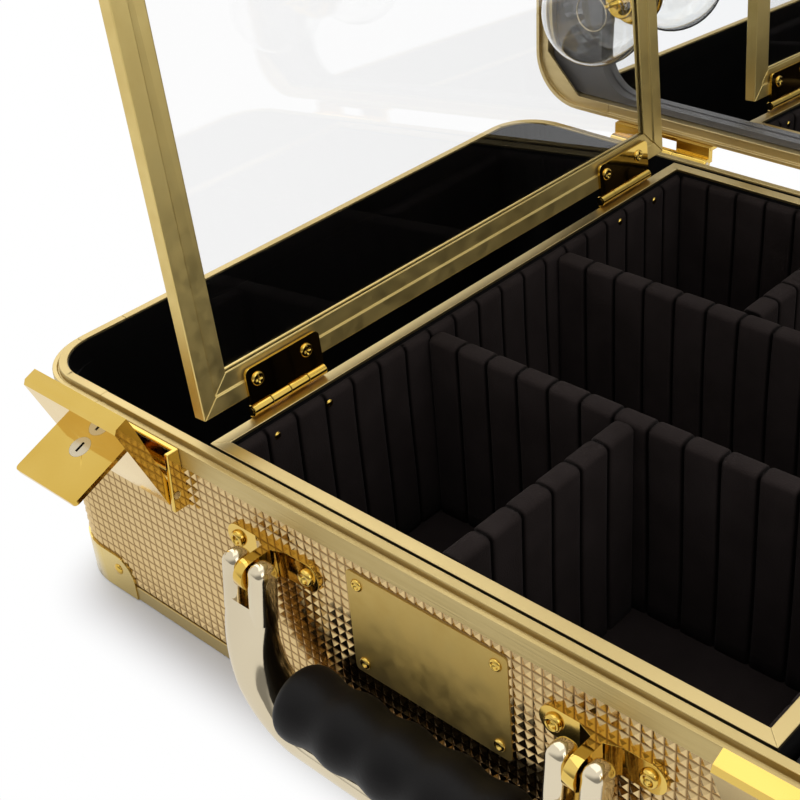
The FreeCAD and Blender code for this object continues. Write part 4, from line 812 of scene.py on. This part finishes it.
# outlines of the heads: the ring and the pan are shares of their radius and height
headForm = {
    "domeRings": 9, "domeSunk": 0.3, "panFlat": 0.72, "panRings": 9, "rimRings": 5, "panSunk": 0.2,
    "ring": ((0, 0.06), (0.42, 0.06), (0.48, 0.6), (0.6, 1.0), (0.74, 1.0), (0.9, 0.7), (1, 0.25),
             (1, -0.2)),
}


def roundHead(radius, height):  # a low dome: height falls as a quarter of an ellipse
    t = np.linspace(0, math.pi / 2, headForm["domeRings"])
    dome = np.stack([radius * np.sin(t), height * np.cos(t)], -1)
    return np.concatenate([dome, [(radius, -headForm["domeSunk"])]])


def ringHead(radius, height):  # a rolled eyelet: raised ring round a sunk middle
    return np.array(headForm["ring"]) * (radius, height)


def panHead(radius, height):  # a flat head with a rounded rim, in rings fine enough for its cross
    flat = headForm["panFlat"]
    inner = np.linspace(0, flat, headForm["panRings"])
    rim = np.linspace(0, math.pi / 2, headForm["rimRings"])[1:]
    edge = np.stack([flat + (1 - flat) * np.sin(rim), np.cos(rim)], -1)
    top = np.stack([inner, 1 + 0 * inner], -1)
    return np.concatenate([top, edge, [(1, -headForm["panSunk"])]]) * (radius, height)


def heads(name, profile, spots, out, body, cross=None, placed=None, stands=()):
    # the same head at every spot, as one piece
    points, faces = gather([spun(profile, fasteners["sides"], spot, out, cross) for spot in spots])
    if placed:
        points = atRest(points, placed)
    buildPiece(name, points, faces, body, "hardware_gold", stands=stands)


inset = fasteners["plateInset"]
plateSpots = [(x, plateLow[1], z) for x in (plateLow[0] + inset, plateHigh[0] - inset)
              for z in (plateLow[2] + inset, plateHigh[2] - inset)]
heads("plateRivets", ringHead(*fasteners["plateRivet"]), plateSpots, (0, -1, 0), "base")
eyeSpots = [(side * fasteners["bracketMiddle"] + step * fasteners["bracketEye"],
             fasteners["bracketFace"], fasteners["bracketLevel"])
            for side in (-1, 1) for step in (-1, 1)]
heads("bracketRivets", ringHead(*fasteners["bracketRivet"]), eyeSpots, (0, -1, 0), "base",
      stands=("handle_rivets",))
capRivet = roundHead(*fasteners["capRivet"])
for level, body, placed in ((fasteners["capLevel"], "base", None),
                            (lidForm["top"] - fasteners["capLevel"], "lid", "lid")):
    for side, place in ((-1, "Front"), (1, "Back")):
        spots = [(x * fasteners["capReach"], side * fasteners["capFaceY"], level) for x in (-1, 1)]
        heads(body + place + "CapRivets", capRivet, spots, (0, side, 0), body, placed=placed)
    for side, place in ((-1, "Left"), (1, "Right")):
        spots = [(side * fasteners["capFaceX"], y * fasteners["capEnd"], level) for y in (-1, 1)]
        heads(body + place + "CapRivets", capRivet, spots, (side, 0, 0), body, placed=placed)

coverAxis, lidAxis = pivot("cover_hinge"), pivot("lid_hinge")
leafX, leafZ = coverAxis[0] + fasteners["leafOut"], coverAxis[2] - fasteners["leafSunk"]
leafSpots = [(leafX, start + share * length, leafZ)
             for start, length in coverHinges for share in fasteners["leafShares"]]
heads("leafScrews", panHead(*fasteners["leafScrew"]), leafSpots, (0, 0, -1), "cover",
      cross=fasteners["cross"], placed="cover")
liningFace = nodeBox("tray_lining_left")[1][0] - fasteners["screwEndSunk"]
endSpots = [(liningFace, start + share * length, fasteners["screwEndLevel"])
            for start, length in coverHinges for share in fasteners["screwEndShares"]]
heads("leafScrewEnds", roundHead(*fasteners["screwEnd"]), endSpots, (1, 0, 0), "base")
lidScrew = panHead(*fasteners["lidScrew"])
baseLeafSpots = [(middle + step * lidHinges["part"], fasteners["lidScrewFace"], level)
                 for middle in lidHinges["middles"] for step in (-1, 1)
                 for level in fasteners["lidScrewLevels"]]
lidLeafSpots = [(x, y, 2 * lidAxis[2] - z) for x, y, z in baseLeafSpots]
heads("lidHingeBaseScrews", lidScrew, baseLeafSpots, (0, 1, 0), "base", cross=fasteners["cross"])
heads("lidHingeLidScrews", lidScrew, lidLeafSpots, (0, 1, 0), "lid", cross=fasteners["cross"],
      placed="lid")


def sleeves(name, radius, axisSpot, axis, starts, length, body):
    # round knuckles over the hinge eyes, with a small chamfer at each end
    cut = knuckle["chamfer"]
    profile = [(0, length), (radius - cut, length), (radius, length - cut), (radius, cut),
               (radius - cut, 0), (0, 0)]
    axis = np.array(axis, float)
    parts = [spun(profile, knuckle["sides"], axisSpot * (1 - axis) + start * axis, axis)
             for start in starts]
    points, faces = gather(parts)
    piece = buildPiece(name, points, faces, body, "hardware_gold")
    piece.data.set_sharp_from_angle(angle=math.radians(knuckle["sharperThan"]))


gap = knuckle["gap"]
quarterLength = coverHinges[0][1] / 4
for body, quarters in (("base", (0, 2)), ("cover", (1, 3))):
    starts = [start + quarter * quarterLength + gap for start, _ in coverHinges for quarter in quarters]
    sleeves(body + "CoverKnuckles", knuckle["cover"], coverAxis, (0, 1, 0), starts,
            quarterLength - 2 * gap, body)
part = lidHinges["part"]
for body, thirds in (("base", (1,)), ("lid", (0, 2))):
    starts = [middle + (third - 1.5) * part + gap
              for middle in lidHinges["middles"] for third in thirds]
    sleeves(body + "LidKnuckles", knuckle["lid"], lidAxis, (1, 0, 0), starts, part - 2 * gap, body)
print("fasteners")

# Camera at the photograph's place, solved from the rims' straight edges
camera = {
    "place": (260.9, -411.3, 410.3), "right": (0.7485, 0.6609, -0.0543),
    "down": (0.3203, -0.4321, -0.8430), "lens": 65.9, "sensor": 36.0, "shift": (-0.0708, -0.0369),
    "nearest": 0.01,
}


def setCamera():  # the solved axes, squared up, are the columns of the camera's turn
    data = bpy.data.cameras.new("photoCamera")
    data.lens, data.sensor_width = camera["lens"], camera["sensor"]
    data.shift_x, data.shift_y = camera["shift"]
    data.clip_start = camera["nearest"]
    seat = bpy.data.objects.new("photoCamera", data)
    right, up = Vector(camera["right"]).normalized(), -Vector(camera["down"])
    back = right.cross(up).normalized()
    up = back.cross(right)
    turn = Matrix((right, up, back)).transposed().to_4x4()
    seat.matrix_world = Matrix.Translation(Vector(camera["place"]) * mm) @ turn
    bpy.context.scene.collection.objects.link(seat)
    bpy.context.scene.camera = seat


# place and size in metres, power in watts; all of them point at the same spot
lampTarget = (0, 0, 0.1)
lamps = {
    "topLamp": ((-0.3, 0.2, 1.7), 1.8, 8),
    "leftLamp": ((-1.4, 0.5, 1.1), 1.2, 4),
    "sideLamp": ((1.5, -0.2, 0.9), 0.9, 4),
}


def areaLamp(name, place, size, power):  # a square lamp turned towards the target
    data = bpy.data.lights.new(name, "AREA")
    data.shape, data.size, data.energy = "SQUARE", size, power
    lamp = bpy.data.objects.new(name, data)
    aim = Vector(lampTarget) - Vector(place)
    turn = aim.to_track_quat("-Z", "Y").to_matrix().to_4x4()
    lamp.matrix_world = Matrix.Translation(place) @ turn
    bpy.context.scene.collection.objects.link(lamp)


# the room that polished metal reflects: white behind, above and to the left, greyer in front
room = {
    "whiteSide": (-0.8, 1.0, 1.2), "levels": (-0.7, 0.25), "strengths": (0.3, 1.0),
    "fill": 1.0, "fillColour": (0.93, 0.95, 1.0, 1), "white": (1, 1, 1, 1),
}


def reflectedRoom(tree):  # brightness eases up with the direction's share towards the white side
    coords = addNode(tree, "TexCoord")
    slope = addNode(tree, "VectorMath", {1: room["whiteSide"]}, operation="DOT_PRODUCT")
    tree.links.new(coords.outputs["Generated"], slope.inputs[0])
    glow = addNode(tree, "Background", {"Color": room["white"]})
    shade = eased(tree, slope.outputs["Value"], room["levels"], room["strengths"])
    tree.links.new(shade, glow.inputs["Strength"])
    return glow.outputs[0]


def setWorld():
    # camera and see-through rays meet plain white, mirrored rays the white room, others a soft fill
    world = bpy.data.worlds.new("studio")
    bpy.context.scene.world = world
    world.use_nodes = True
    tree = world.node_tree
    soft = tree.nodes["Background"]
    setInputs(soft, {"Color": room["fillColour"], "Strength": room["fill"]})
    white = addNode(tree, "Background", {"Color": room["white"]})
    rays = addNode(tree, "LightPath").outputs
    direct = combined(tree, "MAXIMUM", rays["Is Camera Ray"], rays["Is Transmission Ray"])
    mirrored = mixedShaders(tree, rays["Is Glossy Ray"], soft.outputs[0], reflectedRoom(tree))
    seen = mixedShaders(tree, direct, mirrored, white.outputs[0])
    tree.links.new(seen, tree.nodes["World Output"].inputs["Surface"])


# the floor, in metres; the fade starts at a rectangle that lies within the case's footprint
ground = {
    "reach": 3.0, "level": -0.0004, "fadeFrom": (0.178, 0.14, 1), "fade": (0.018, 0.052),
    # the grey base colour shows only beside the case: painted shadow over the real one
    "inputs": {"Base Color": (0.7, 0.7, 0.71, 1), "Roughness": 0.7, "Specular IOR Level": 0.1},
}


def distanceOutside(tree, half):
    # the length of what is left of |x| and |y| past a rectangle's half sizes
    way = addNode(tree, "TexCoord").outputs["Object"]
    none = (0, 0, 0)
    for operation, other in (("ABSOLUTE", none), ("SUBTRACT", half), ("MAXIMUM", none)):
        step = addNode(tree, "VectorMath", {1: other}, operation=operation)
        tree.links.new(way, step.inputs[0])
        way = step.outputs["Vector"]
    length = addNode(tree, "VectorMath", operation="LENGTH")
    tree.links.new(way, length.inputs[0])
    return length.outputs["Value"]


def setFloor():
    # what is seen of the floor turns from its shaded self near the case to plain white away from it;
    # near the case its grey colour deepens the real shadow with painted shadow
    reach = ground["reach"]
    corners = [(-reach, -reach, 0), (reach, -reach, 0), (reach, reach, 0), (-reach, reach, 0)]
    mesh = bpy.data.meshes.new("floor")
    mesh.from_pydata(corners, [], [(0, 1, 2, 3)])
    material, tree, shader = newMaterial("floorPaintedShadow")
    setInputs(shader, ground["inputs"])
    away = eased(tree, distanceOutside(tree, ground["fadeFrom"]), ground["fade"], (0.0, 1.0))
    rays = addNode(tree, "LightPath").outputs
    straight = combined(tree, "MAXIMUM", rays["Is Camera Ray"], rays["Is Transmission Ray"])
    seen = combined(tree, "MAXIMUM", straight, rays["Is Glossy Ray"])
    share = combined(tree, "MULTIPLY", seen, away)
    white = addNode(tree, "Emission")
    shown = mixedShaders(tree, share, shader.outputs[0], white.outputs[0])
    tree.links.new(shown, tree.nodes["Material Output"].inputs["Surface"])
    mesh.materials.append(material)
    floor = bpy.data.objects.new("floor", mesh)
    floor.location.z = ground["level"]
    bpy.context.scene.collection.objects.link(floor)


setCamera()
setWorld()
setFloor()
for name, (place, size, power) in lamps.items():
    areaLamp(name, place, size, power)
bpy.context.scene.view_settings.view_transform = "Standard"
print("stage")
